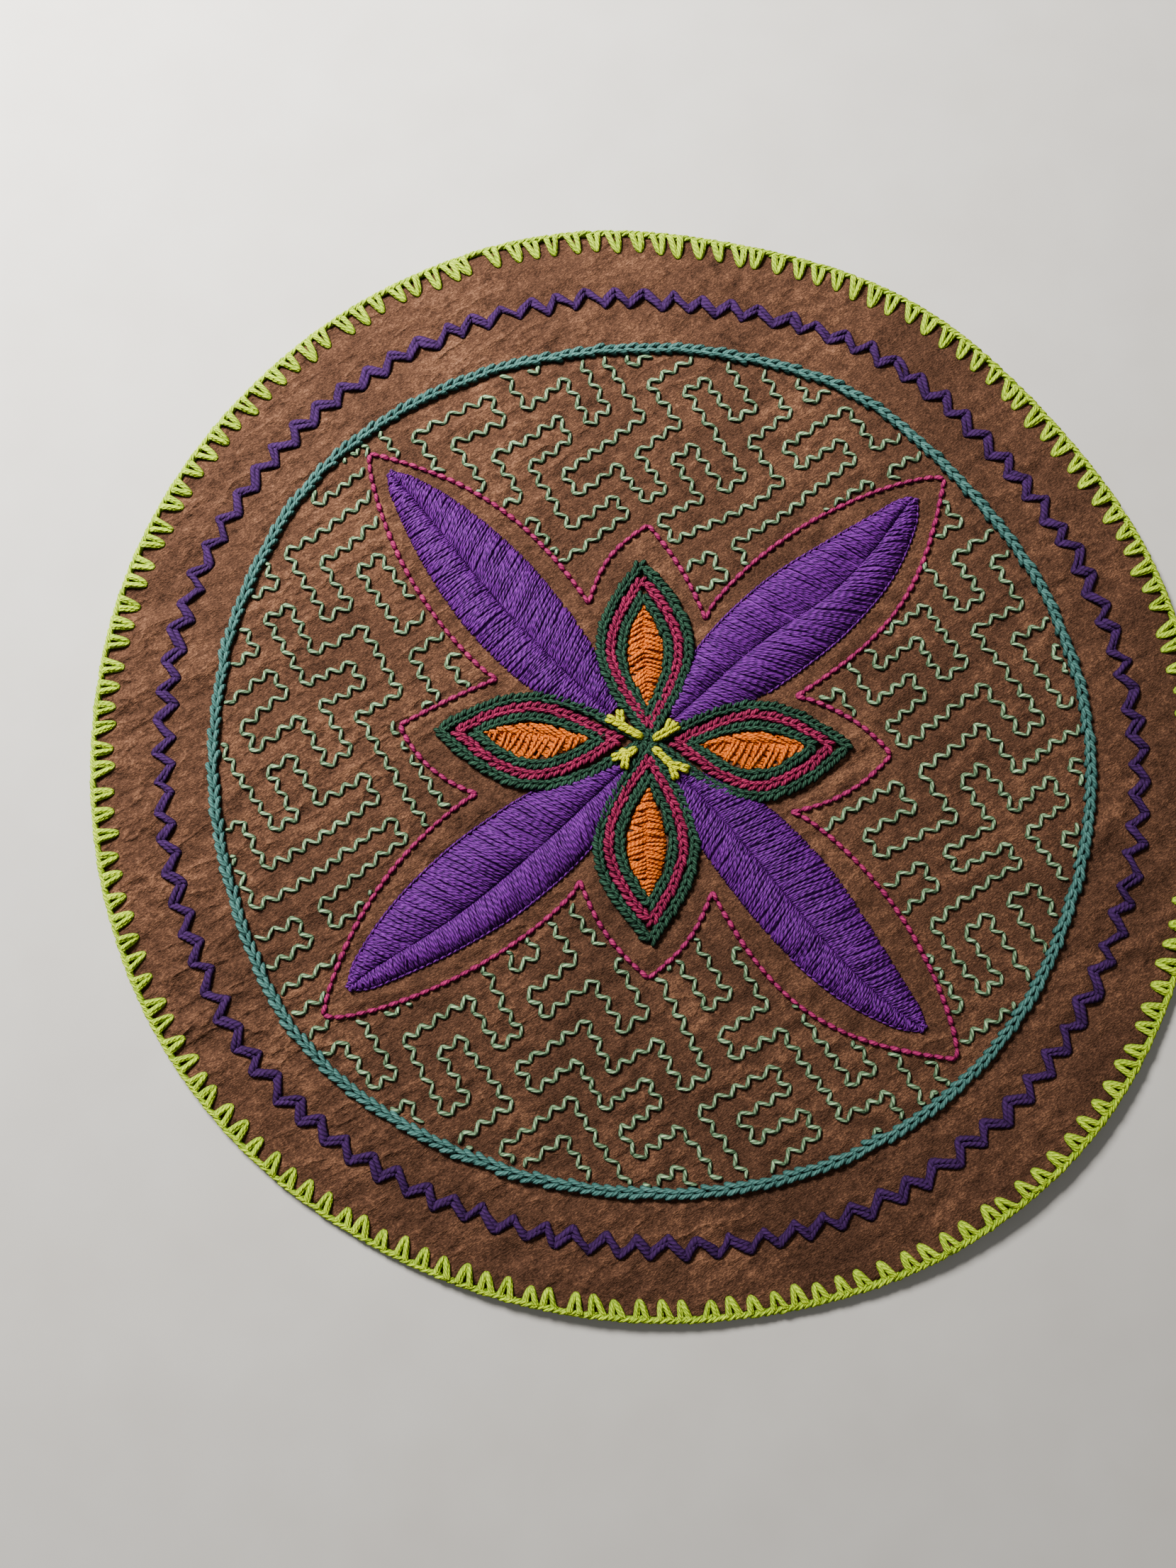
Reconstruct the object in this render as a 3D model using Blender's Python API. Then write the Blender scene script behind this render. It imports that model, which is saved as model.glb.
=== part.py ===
"""Round tapestry: a dyed cotton disc with a stitched edging, two ring lines, a star line and a raised flower.

The rings' centre is the origin, on the underside of the cloth. X runs to the right of the flower, Y to its top
and Z up from the surface the cloth lies on. Sizes are in millimetres and MM turns them into metres.
"""

import math
import random

import bmesh
import bpy

MM = 0.001
GAP = 0.3  # between a piece and the piece that it is sewn to

# The cloth
CLOTH_THICK = 1.2
CLOTH_SPOKES = 72
CLOTH_RINGS = (0.0, 0.16, 0.32, 0.47, 0.61, 0.74, 0.85, 0.93, 1.0)

# Radii round the disc: the edging's outside, the zigzag line's middle and the ring line's middle
OUTLINE_STEP = 20
OUTLINE = [
    # angle, edging, zigzag, ring
    (0, 161.5, 142.2, 127.9),
    (20, 160.3, 140.1, 126.3),
    (40, 159.2, 139.2, 124.3),
    (60, 162.0, 141.0, 126.1),
    (80, 161.3, 139.4, 124.6),
    (100, 164.6, 141.8, 124.3),
    (120, 164.9, 142.8, 127.0),
    (140, 164.3, 143.7, 129.4),
    (160, 163.8, 143.2, 127.9),
    (180, 162.3, 140.8, 126.3),
    (200, 161.4, 140.7, 126.0),
    (220, 160.5, 141.9, 128.0),
    (240, 158.2, 139.0, 125.3),
    (260, 157.3, 137.5, 123.7),
    (280, 158.8, 139.2, 124.4),
    (300, 161.8, 141.0, 126.7),
    (320, 163.5, 142.2, 128.1),
    (340, 162.4, 142.0, 127.5),
]
EDGING, ZIGZAG, RING = 1, 2, 3

# Where the cloth stands off the surface: soft creases, and stretches of the rim that curl up
CREASES = [
    # x, y, heading, half length, half width, height
    (-118, -8, 24, 42, 11, 0.50),
    (-104, -44, 30, 34, 11, 0.40),
    (-74, -108, 33, 40, 12, 0.45),
    (-30, 112, 28, 38, 11, 0.40),
    (112, 52, 36, 36, 11, 0.40),
    (96, -74, 30, 40, 12, 0.45),
    (20, -128, 22, 40, 12, 0.40),
]
RIM_CURLS = [
    # angle, half spread in degrees, height
    (-48, 34, 2.2),
    (-98, 26, 1.3),
    (22, 24, 0.9),
    (203, 24, 0.8),
]
CURL_START = 112.0

# The edging: a whipped rim round the cloth's edge, with tufts that lie on the cloth
TUFTS = 158
RIM_WIDTH = 2.2
RIM_LAP = 0.8
RIM_HEIGHT = 2.4
RIM_FOOT = 0.5  # how far the rim's foot lies inside its widest place
RIM_BELLY = 0.55  # how far up the rim is widest, as a share of its height
TUFT_BASE = 4.4
TUFT_HEIGHT = 0.9
TUFT_REACH = 7.0
TUFT_REACH_SPREAD = 0.6
TUFT_REACH_SWING = 1.0  # longer on the disc's one side and shorter on the other
TUFT_LONGEST_AT = 95.0

# The lines sewn round the disc
ZIGZAG_POINTS = 100
ZIGZAG_SWING = 2.2
ZIGZAG_WIDTH = 2.8
ZIGZAG_HEIGHT = 1.4
ZIGZAG_SLOPE = 43.0  # of its strokes, in degrees
RING_SAMPLES = 72
RING_WIDTH = 3.4
RING_HEIGHT = 1.5
STAR_WIDTH = 1.2
STAR_HEIGHT = 0.9
STAR_STEPS = 5
STAR_LONG_SIDE = 50.0
STAR_MORE_STEPS = 3  # on its long sides
STAR_LEAST_MITRE = 0.35  # keeps its sharp corners from running out into spikes
BAND_BEVEL = 0.22  # of a band's width, on either side of its top

# The star line's corners, counterclockwise, and how each side bows outward on its way to the next corner.
# With a fullness under 1 the side's ends are fuller than an even bow's
STAR = [
    # x, y, bow, fullness
    (70.3, -1.3, 2.9, 0.8),
    (43.2, 16.0, 10.2, 1.0),
    (89.4, 82.8, 9.3, 0.65),
    (17.1, 39.2, 1.5, 1.0),
    (0.3, 68.3, 3.3, 1.0),
    (-17.5, 44.0, 8.7, 0.9),
    (-83.4, 90.6, 7.7, 0.7),
    (-44.3, 21.3, 0.5, 1.0),
    (-72.5, 7.6, 3.4, 0.8),
    (-49.7, -12.6, 7.8, 0.8),
    (-92.2, -75.6, 8.1, 0.6),
    (-20.1, -37.6, 2.6, 1.0),
    (-0.6, -65.3, 2.7, 1.0),
    (17.8, -40.8, 12.8, 0.95),
    (85.4, -87.6, 9.6, 0.7),
    (41.0, -18.0, 3.1, 0.9),
]

# The four leaves: where the stalk end and the tip lie, and how far the middle bows to the left of the way out
LEAVES = {
    # name: (base radius, base angle, tip radius, tip angle, half width, bow, groove shift)
    "leaf_ne": (13.4, 50.4, 110.0, 43.5, 12.9, -2.7, -0.5),
    "leaf_nw": (16.8, 135.2, 113.4, 132.4, 13.0, -0.5, 1.2),
    "leaf_sw": (13.8, 218.4, 108.0, 218.6, 12.9, -1.4, 1.6),
    "leaf_se": (13.8, 317.6, 109.6, 314.0, 12.6, -2.2, -0.6),
}
LEAF_LEAN = 2.5  # the bow is fullest towards the tip
LEAF_SHAPE = [
    # share of the length, share of the half width
    (0.0, 0.16),
    (0.08, 0.42),
    (0.17, 0.70),
    (0.27, 0.89),
    (0.38, 0.98),
    (0.50, 1.0),
    (0.62, 0.93),
    (0.73, 0.80),
    (0.83, 0.63),
    (0.91, 0.46),
    (0.97, 0.31),
    (1.0, 0.14),
]
LEAF_CROWN = [
    # share across, height
    (-1.0, 0.35),
    (-0.80, 1.10),
    (-0.45, 1.60),
    (-0.14, 1.15),
    (0.0, 0.55),
    (0.14, 1.15),
    (0.45, 1.60),
    (0.80, 1.10),
    (1.0, 0.35),
]
LEAF_SOLE = (0.5, 0.0, -0.5)
LEAF_THIN = 0.45  # share of the crown's height left where the leaf has no width
LEAF_FULL = 0.7  # share of the half width from which the crown has its whole height

# The four petals meet just above the rings' centre. Each is three lens-shaped bands round a crowned fill
MEETING = (0.0, 2.6)
PETALS = {
    # name: (angle, tip, half width, bow to the left of the way out)
    "petal_e": (-1.6, 58.0, 13.3, -1.75),
    "petal_n": (92.0, 53.4, 12.6, 0.0),
    "petal_w": (176.9, 61.4, 12.9, 1.65),
    "petal_s": (269.9, 57.2, 13.5, -0.9),
}
PETAL_BASE = 2.6
BAND_PITCH = 3.0
BAND_WIDTH = 2.5
BAND_HEIGHT = 1.2
BAND_STEPS = 11
BANDS = ("outer", "middle", "inner")
LENS_SKEW = 1.08
FILL_STATIONS = 9
FILL_CROWN = [(-1.0, 0.3), (-0.55, 0.85), (0.0, 1.1), (0.55, 0.85), (1.0, 0.3)]
FILL_SOLE = (0.0,)
FILL_END = 0.02  # share of the length left bare at either end
FILL_THIN = 0.5  # share of the crown's height left at the ends

# The short stitches between the petals
CENTRE_STITCHES = {
    # name: (angle, start, end, half width)
    "centre_ne": (41.0, 5.6, 10.0, 0.85),
    "centre_nw": (141.0, 5.6, 13.4, 0.95),
    "centre_sw": (221.0, 5.6, 11.6, 0.9),
    "centre_se": (-46.0, 5.6, 12.2, 0.95),
}
CENTRE_HEIGHT = 1.0
CENTRE_SHAPE = [
    # share of the length, share of the half width
    (0.0, 0.55),
    (0.3, 0.9),
    (0.75, 1.0),
    (1.0, 0.6),
]

FINISHES = {
    # name: (linear colour, roughness)
    "brown": ((0.140, 0.058, 0.030), 0.92),
    "lime": ((0.400, 0.640, 0.060), 0.80),
    "indigo": ((0.045, 0.016, 0.150), 0.72),
    "teal": ((0.055, 0.230, 0.210), 0.72),
    "magenta": ((0.560, 0.030, 0.150), 0.70),
    "violet": ((0.130, 0.032, 0.350), 0.60),
    "green": ((0.015, 0.075, 0.042), 0.75),
    "orange": ((0.800, 0.190, 0.035), 0.72),
    "yellow": ((0.700, 0.720, 0.060), 0.75),
}
BAND_FINISH = {"outer": "green", "middle": "magenta", "inner": "green"}


def clear_scene():
    for obj in list(bpy.data.objects):
        bpy.data.objects.remove(obj, do_unlink=True)


def material(name):
    found = bpy.data.materials.get(name)
    if found:
        return found
    colour, roughness = FINISHES[name]
    made = bpy.data.materials.new(name)
    made.use_nodes = True
    shader = made.node_tree.nodes["Principled BSDF"]
    shader.inputs["Base Color"].default_value = (*colour, 1.0)
    shader.inputs["Roughness"].default_value = roughness
    shader.inputs["Metallic"].default_value = 0.0
    return made


def polar(radius, degrees):
    angle = math.radians(degrees)
    return radius * math.cos(angle), radius * math.sin(angle)


def smooth_step(share):
    share = min(max(share, 0.0), 1.0)
    return share * share * (3.0 - 2.0 * share)


def outline_radius(column, degrees):
    """The radius of one of the disc's round lines, on a smooth closed curve through the rows of OUTLINE."""
    place = (degrees % 360.0) / OUTLINE_STEP
    row = int(place)
    t = place - row
    before, start, end, after = (OUTLINE[(row + step) % len(OUTLINE)][column] for step in (-1, 0, 1, 2))
    rise = (end - before) / 2.0
    fall = (after - start) / 2.0
    return (
        (2 * t**3 - 3 * t**2 + 1) * start
        + (t**3 - 2 * t**2 + t) * rise
        + (3 * t**2 - 2 * t**3) * end
        + (t**3 - t**2) * fall
    )


def lift(x, y):
    """How far the cloth's underside stands off the surface at a place."""
    height = 0.0
    for crease_x, crease_y, heading, half_length, half_width, crest in CREASES:
        along_x, along_y = polar(1.0, heading)
        along = (x - crease_x) * along_x + (y - crease_y) * along_y
        across = (y - crease_y) * along_x - (x - crease_x) * along_y
        fade = smooth_step(1.5 * (1.0 - abs(along) / half_length))
        height = max(height, crest * fade * math.exp(-((across / half_width) ** 2)))
    radius = math.hypot(x, y)
    degrees = math.degrees(math.atan2(y, x))
    out = smooth_step((radius - CURL_START) / (outline_radius(EDGING, degrees) - CURL_START))
    for angle, spread, crest in RIM_CURLS:
        turn = abs((degrees - angle + 180.0) % 360.0 - 180.0)
        height += crest * out * out * smooth_step(1.0 - turn / spread)
    return height


def on_cloth(x, y, height):
    """A point this far above the seat that sewn pieces keep over the cloth."""
    return x, y, lift(x, y) + CLOTH_THICK + GAP + height


def add_object(name, mesh, finish):
    """Makes an object of a bmesh in millimetres, with its faces turned out."""
    bmesh.ops.recalc_face_normals(mesh, faces=mesh.faces)
    bmesh.ops.scale(mesh, vec=(MM, MM, MM), verts=mesh.verts)
    data = bpy.data.meshes.new(name)
    mesh.to_mesh(data)
    mesh.free()
    data.materials.append(material(finish))
    data.shade_smooth()
    data.set_sharp_from_angle(angle=math.radians(50.0))
    obj = bpy.data.objects.new(name, data)
    bpy.context.scene.collection.objects.link(obj)
    return obj


def loft(sections, closed):
    """A closed skin over like sections: a ring where it is closed, or else a bar with capped ends."""
    mesh = bmesh.new()
    rows = [[mesh.verts.new(point) for point in section] for section in sections]
    pairs = list(zip(rows, rows[1:]))
    if closed:
        pairs.append((rows[-1], rows[0]))
    for first, second in pairs:
        for i in range(len(first)):
            j = (i + 1) % len(first)
            mesh.faces.new((first[i], first[j], second[j], second[i]))
    if not closed:
        mesh.faces.new(rows[0])
        mesh.faces.new(rows[-1])
    return mesh


def band_section(inner, outer, height):
    """Four corners of a raised band between two points on the cloth, narrower at its top."""
    top_in = tuple(a + (b - a) * BAND_BEVEL for a, b in zip(inner, outer))
    top_out = tuple(b + (a - b) * BAND_BEVEL for a, b in zip(inner, outer))
    return [
        on_cloth(*inner, 0.0),
        on_cloth(*outer, 0.0),
        on_cloth(*top_out, height),
        on_cloth(*top_in, height),
    ]


def make_cloth():
    """The disc: one sheet with a top, an underside and a cut edge."""
    mesh = bmesh.new()
    top, under = [], []
    for share in CLOTH_RINGS:
        spokes = CLOTH_SPOKES if share else 1
        top_ring, under_ring = [], []
        for spoke in range(spokes):
            degrees = 360.0 * spoke / CLOTH_SPOKES
            x, y = polar(share * (outline_radius(EDGING, degrees) - RIM_WIDTH - GAP), degrees)
            top_ring.append(mesh.verts.new((x, y, lift(x, y) + CLOTH_THICK)))
            under_ring.append(mesh.verts.new((x, y, lift(x, y))))
        top.append(top_ring)
        under.append(under_ring)
    for side in (top, under):
        for spoke in range(CLOTH_SPOKES):
            following = (spoke + 1) % CLOTH_SPOKES
            mesh.faces.new((side[0][0], side[1][spoke], side[1][following]))
            for inner, outer in zip(side[1:], side[2:]):
                mesh.faces.new((inner[spoke], outer[spoke], outer[following], inner[following]))
    for spoke in range(CLOTH_SPOKES):
        following = (spoke + 1) % CLOTH_SPOKES
        mesh.faces.new((top[-1][spoke], under[-1][spoke], under[-1][following], top[-1][following]))
    add_object("cloth", mesh, "brown")


def rim_section(degrees):
    """The rim's section: round the cut edge, with a lap on the cloth that the tufts grow from."""
    radius = outline_radius(EDGING, degrees)
    wall = radius - RIM_WIDTH
    lap = wall - RIM_LAP
    ground = lift(*polar(wall, degrees))
    seat = ground + CLOTH_THICK + GAP
    profile = [
        (wall, ground),
        (radius - RIM_FOOT, ground),
        (radius, ground + RIM_BELLY * RIM_HEIGHT),
        (lap, ground + RIM_HEIGHT),
        (lap, seat),
        (wall, seat),
    ]
    return [(*polar(r, degrees), z) for r, z in profile]


def make_edging():
    """The rim and its tufts in one yarn: each tuft is a wedge that runs inward from the rim's lap."""
    rng = random.Random(7)
    lap_top, lap_under = 3, 4
    mesh = bmesh.new()
    rows, reaches = [], []
    step = 360.0 / TUFTS
    half_base = math.degrees(TUFT_BASE / 2.0 / outline_radius(EDGING, 0.0))
    for tuft in range(TUFTS):
        middle = tuft * step + rng.uniform(-0.08, 0.08) * step
        reach = TUFT_REACH + TUFT_REACH_SWING * math.cos(math.radians(middle - TUFT_LONGEST_AT))
        reaches.append((middle, reach + rng.uniform(-1.0, 1.0) * TUFT_REACH_SPREAD))
        for side in (-1, 1):
            rows.append([mesh.verts.new(p) for p in rim_section(middle + side * half_base)])
    for i, first in enumerate(rows):
        second = rows[(i + 1) % len(rows)]
        has_tuft = i % 2 == 0
        for a in range(len(first)):
            b = (a + 1) % len(first)
            if has_tuft and a == lap_top:
                continue
            mesh.faces.new((first[a], first[b], second[b], second[a]))
        if not has_tuft:
            continue
        middle, reach = reaches[i // 2]
        x, y = polar(outline_radius(EDGING, middle) - reach, middle)
        tip_top = mesh.verts.new(on_cloth(x, y, TUFT_HEIGHT))
        tip_under = mesh.verts.new(on_cloth(x, y, 0.0))
        mesh.faces.new((first[lap_top], second[lap_top], tip_top))
        mesh.faces.new((first[lap_under], second[lap_under], tip_under))
        for row in (first, second):
            mesh.faces.new((row[lap_top], row[lap_under], tip_under, tip_top))
    add_object("edging", mesh, "lime")


def make_zigzag():
    sections = []
    half = ZIGZAG_WIDTH / 2.0 / math.cos(math.radians(ZIGZAG_SLOPE))
    for i in range(2 * ZIGZAG_POINTS):
        degrees = 180.0 * i / ZIGZAG_POINTS
        radius = outline_radius(ZIGZAG, degrees) + ZIGZAG_SWING * (-1) ** i
        inner, outer = polar(radius - half, degrees), polar(radius + half, degrees)
        sections.append(band_section(inner, outer, ZIGZAG_HEIGHT))
    add_object("zigzag_line", loft(sections, True), "indigo")


def make_ring():
    sections = []
    for i in range(RING_SAMPLES):
        degrees = 360.0 * i / RING_SAMPLES
        radius = outline_radius(RING, degrees)
        inner = polar(radius - RING_WIDTH / 2.0, degrees)
        outer = polar(radius + RING_WIDTH / 2.0, degrees)
        sections.append(band_section(inner, outer, RING_HEIGHT))
    add_object("ring_line", loft(sections, True), "teal")


def star_path():
    """Points along the star line: each side is a soft bow between two corners."""
    points = []
    for i, (x, y, bow, fullness) in enumerate(STAR):
        next_x, next_y, *_ = STAR[(i + 1) % len(STAR)]
        span = math.hypot(next_x - x, next_y - y)
        steps = STAR_STEPS + STAR_MORE_STEPS * int(span > STAR_LONG_SIDE)
        for step in range(steps):
            share = step / steps
            out = bow * math.sin(math.pi * share) ** fullness
            points.append(
                (
                    x + (next_x - x) * share + out * (next_y - y) / span,
                    y + (next_y - y) * share - out * (next_x - x) / span,
                )
            )
    return points


def make_star():
    points = star_path()
    sections = []
    for i, (x, y) in enumerate(points):
        before, after = points[i - 1], points[(i + 1) % len(points)]
        along = math.atan2(after[1] - y, after[0] - x)
        came = math.atan2(y - before[1], x - before[0])
        half_turn = ((along - came + math.pi) % (2.0 * math.pi) - math.pi) / 2.0
        mitre = STAR_WIDTH / 2.0 / max(math.cos(half_turn), STAR_LEAST_MITRE)
        side = came + half_turn + math.pi / 2.0
        out_x, out_y = mitre * math.cos(side), mitre * math.sin(side)
        sections.append(
            [
                on_cloth(x + out_x, y + out_y, 0.0),
                on_cloth(x - out_x, y - out_y, 0.0),
                on_cloth(x, y, STAR_HEIGHT),
            ]
        )
    add_object("star_line", loft(sections, True), "magenta")


def crowned_section(centre, across, half_width, crown, sole, groove_shift, scale):
    """A section of a padded shape: its crown from edge to edge, then its sole back along the cloth."""
    line = []
    for share, height in crown:
        line.append((share * half_width + groove_shift * (1.0 - abs(share)), height * scale))
    for share in (1.0, *sole, -1.0):
        line.append((share * half_width, 0.0))
    points = []
    for off, height in line:
        points.append(on_cloth(centre[0] + across[0] * off, centre[1] + across[1] * off, height))
    return points


def make_leaf(name):
    """A satin-stitched leaf: crowned on both sides of its midrib groove, thin at its edges and tips."""
    base_radius, base_angle, tip_radius, tip_angle, half_width, bow, shift = LEAVES[name]
    base, tip = polar(base_radius, base_angle), polar(tip_radius, tip_angle)
    length = math.hypot(tip[0] - base[0], tip[1] - base[1])
    along = ((tip[0] - base[0]) / length, (tip[1] - base[1]) / length)
    across = (-along[1], along[0])
    sections = []
    for share, width in LEAF_SHAPE:
        off = bow * math.sin(math.pi * share**LEAF_LEAN)
        centre = (
            base[0] + along[0] * length * share + across[0] * off,
            base[1] + along[1] * length * share + across[1] * off,
        )
        scale = LEAF_THIN + (1.0 - LEAF_THIN) * min(1.0, width / LEAF_FULL)
        sections.append(
            crowned_section(centre, across, width * half_width, LEAF_CROWN, LEAF_SOLE, shift * width, scale)
        )
    add_object(name, loft(sections, False), "violet")


class Lens:
    """A petal outline on its own axis, from base to tip, with a sideways bow."""

    def __init__(self, angle, base, tip, half_width, bow):
        self.angle, self.base, self.tip = angle, base, tip
        self.half_width, self.bow = half_width, bow

    def inset(self, distance):
        """The outline that lies this far inside, or outside where it is negative."""
        end = math.atan(math.pi * self.half_width / (self.tip - self.base))
        slip = distance / math.sin(end)
        return Lens(self.angle, self.base + slip, self.tip - slip, self.half_width - distance, self.bow)

    def point(self, share, side):
        """A place at a share of the way out, on the left (1), the axis (0) or the right (-1)."""
        along = self.base + (self.tip - self.base) * share
        width = self.half_width * math.sin(math.pi * share**LENS_SKEW)
        off = side * width + self.bow * math.sin(math.pi * share)
        x, y = polar(1.0, self.angle)
        return MEETING[0] + along * x - off * y, MEETING[1] + along * y + off * x


def petal_lens(name):
    angle, tip, half_width, bow = PETALS[name]
    return Lens(angle, PETAL_BASE, tip, half_width, bow)


def make_band(name, middle, finish):
    """A raised band that runs all round a petal."""
    inner, outer = middle.inset(BAND_WIDTH / 2.0), middle.inset(-BAND_WIDTH / 2.0)
    sections = []
    for side in (1, -1):
        for i in range(BAND_STEPS):
            share = (i if side == 1 else BAND_STEPS - i) / BAND_STEPS
            sections.append(band_section(inner.point(share, side), outer.point(share, side), BAND_HEIGHT))
    add_object(name, loft(sections, True), finish)


def make_fill(name, outline):
    """The crowned filling inside a petal's bands."""
    across_x, across_y = polar(1.0, outline.angle + 90.0)
    sections = []
    for i in range(FILL_STATIONS):
        share = FILL_END + (1.0 - 2.0 * FILL_END) * i / (FILL_STATIONS - 1)
        centre = outline.point(share, 0)
        half_width = outline.half_width * math.sin(math.pi * share**LENS_SKEW)
        scale = FILL_THIN + (1.0 - FILL_THIN) * math.sin(math.pi * share)
        sections.append(
            crowned_section(centre, (across_x, across_y), half_width, FILL_CROWN, FILL_SOLE, 0.0, scale)
        )
    add_object(name, loft(sections, False), "orange")


def make_petal(name):
    middle = petal_lens(name)
    for i, band in enumerate(BANDS):
        make_band(f"{name}_{band}", middle.inset(i * BAND_PITCH), BAND_FINISH[band])
    make_fill(f"{name}_fill", middle.inset((len(BANDS) - 1) * BAND_PITCH + BAND_WIDTH / 2.0 + GAP))


def make_centre_stitch(name):
    """A short raised bar of yarn between two petals, slimmer towards the middle."""
    angle, start, end, half_width = CENTRE_STITCHES[name]
    along_x, along_y = polar(1.0, angle)
    sections = []
    for share, width in CENTRE_SHAPE:
        reach = start + (end - start) * share
        side = width * half_width
        inner = (MEETING[0] + along_x * reach - along_y * side, MEETING[1] + along_y * reach + along_x * side)
        outer = (MEETING[0] + along_x * reach + along_y * side, MEETING[1] + along_y * reach - along_x * side)
        sections.append(band_section(inner, outer, CENTRE_HEIGHT))
    add_object(name, loft(sections, False), "yellow")


def main():
    clear_scene()
    make_cloth()
    make_edging()
    make_zigzag()
    make_ring()
    make_star()
    for name in LEAVES:
        make_leaf(name)
    for name in PETALS:
        make_petal(name)
    for name in CENTRE_STITCHES:
        make_centre_stitch(name)


main()
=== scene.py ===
"""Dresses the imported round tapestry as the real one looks: dyed cloth, yarn edging and embroidery, stitch by stitch.

Sizes are in millimetres in the row frame until a mesh is made, where MM turns them into metres. X runs to the right
of the flower, Y to its top and Z up from the surface that the cloth lies on.
"""

import logging
import math
from collections.abc import Callable
from dataclasses import dataclass, field, replace
from enum import Enum

import bmesh
import bpy
import numpy as np
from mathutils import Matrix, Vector


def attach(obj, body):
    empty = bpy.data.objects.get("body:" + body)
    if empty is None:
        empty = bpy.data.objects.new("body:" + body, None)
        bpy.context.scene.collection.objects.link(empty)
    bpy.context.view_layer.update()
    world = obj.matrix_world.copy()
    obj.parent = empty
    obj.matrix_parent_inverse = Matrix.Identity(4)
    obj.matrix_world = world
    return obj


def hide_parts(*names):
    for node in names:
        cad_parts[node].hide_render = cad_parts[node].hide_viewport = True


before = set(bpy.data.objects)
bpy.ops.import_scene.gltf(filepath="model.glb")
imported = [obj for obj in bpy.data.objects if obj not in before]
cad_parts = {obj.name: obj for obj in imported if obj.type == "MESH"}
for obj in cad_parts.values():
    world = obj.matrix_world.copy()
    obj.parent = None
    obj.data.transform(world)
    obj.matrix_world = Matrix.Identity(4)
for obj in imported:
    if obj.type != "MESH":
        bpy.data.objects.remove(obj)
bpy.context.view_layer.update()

log = logging.getLogger("tapestry")

MM = 0.001
BODY = "root"

# Marks this far apart along a line of stitches draw the cloth down
MARK = 0.6

# The middle of a stitch's curve moves this share of the way that its two inner control points move
MIDDLE_SHARE = 0.75

Rgb = tuple[float, float, float]
Place = tuple[float, float, float]
Point = tuple[float, float]
Arm = tuple[Place, ...]

# Radii round the disc: the edging's outside, the zigzag line's middle and the ring line's middle
OUTLINE_STEP = 20
OUTLINE = np.array([
    # edging, zigzag, ring, from an angle of 0
    (161.5, 142.2, 127.9),
    (160.3, 140.1, 126.3),
    (159.2, 139.2, 124.3),
    (162.0, 141.0, 126.1),
    (161.3, 139.4, 124.6),
    (164.6, 141.8, 124.3),
    (164.9, 142.8, 127.0),
    (164.3, 143.7, 129.4),
    (163.8, 143.2, 127.9),
    (162.3, 140.8, 126.3),
    (161.4, 140.7, 126.0),
    (160.5, 141.9, 128.0),
    (158.2, 139.0, 125.3),
    (157.3, 137.5, 123.7),
    (158.8, 139.2, 124.4),
    (161.8, 141.0, 126.7),
    (163.5, 142.2, 128.1),
    (162.4, 142.0, 127.5),
])

# Low creases, where the cloth stands off the surface
CREASES = np.array([
    # x, y, heading, half length, half width, height
    (-118, -8, 24, 42, 11, 0.50),
    (-104, -44, 30, 34, 11, 0.40),
    (-74, -108, 33, 40, 12, 0.45),
    (-30, 112, 28, 38, 11, 0.40),
    (112, 52, 36, 36, 11, 0.40),
    (96, -74, 30, 40, 12, 0.45),
    (20, -128, 22, 40, 12, 0.40),
])

# How the rim lifts, from CURL_START outward
RIM_CURLS = np.array([
    # angle, half spread in degrees, height
    (-48, 34, 2.2),
    (-98, 26, 1.3),
    (22, 24, 0.9),
    (203, 24, 0.8),
])
CURL_START = 112.0

# The star line's corners, counterclockwise, and how each side bows outward on its way to the next corner
STAR = np.array([
    # x, y, bow, fullness
    (70.3, -1.3, 2.9, 0.8),
    (43.2, 16.0, 10.2, 1.0),
    (89.4, 82.8, 9.3, 0.65),
    (17.1, 39.2, 1.5, 1.0),
    (0.3, 68.3, 3.3, 1.0),
    (-17.5, 44.0, 8.7, 0.9),
    (-83.4, 90.6, 7.7, 0.7),
    (-44.3, 21.3, 0.5, 1.0),
    (-72.5, 7.6, 3.4, 0.8),
    (-49.7, -12.6, 7.8, 0.8),
    (-92.2, -75.6, 8.1, 0.6),
    (-20.1, -37.6, 2.6, 1.0),
    (-0.6, -65.3, 2.7, 1.0),
    (17.8, -40.8, 12.8, 0.95),
    (85.4, -87.6, 9.6, 0.7),
    (41.0, -18.0, 3.1, 0.9),
])

# A leaf's half width on its way from stalk to tip, and how far its two bows lean to the tip and to the stalk
LEAF_LEAN = 2.5
HEEL_LEAN = 0.6
LEAF_SHAPE = np.array([
    # share of the length, share of the half width
    (0.0, 0.30),
    (0.08, 0.56),
    (0.17, 0.82),
    (0.27, 0.96),
    (0.38, 1.03),
    (0.50, 1.05),
    (0.62, 0.97),
    (0.73, 0.84),
    (0.83, 0.66),
    (0.91, 0.47),
    (0.97, 0.29),
    (1.0, 0.12),
])

# The strands of one leg of a tuft
TUFT_STRANDS = (
    # share of the half base, mm from the tip's middle, mm short of the tip, height of the middle
    (1.0, 0.55, 0.5, 0.62),
    (0.74, 0.3, 0.1, 0.95),
    (0.5, 0.05, 0.0, 0.75),
)

# One arm of a chain stitch, as the control points of a curve
LINK_ARM = (
    # share of the length, share of the half width, height in yarns
    (0.0, 0.25, 0.1),
    (0.3, 0.6, 0.95),
    (0.8, 1.65, 0.8),
    (1.0, 0.45, 0.3),
)

# The same in the petals' close rounds, where the arms show as slanting strokes
PETAL_ARM = (
    (0.0, 0.05, 0.35),
    (0.35, 0.4, 0.95),
    (0.78, 1.3, 0.95),
    (1.0, 1.05, 0.1),
)

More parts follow.
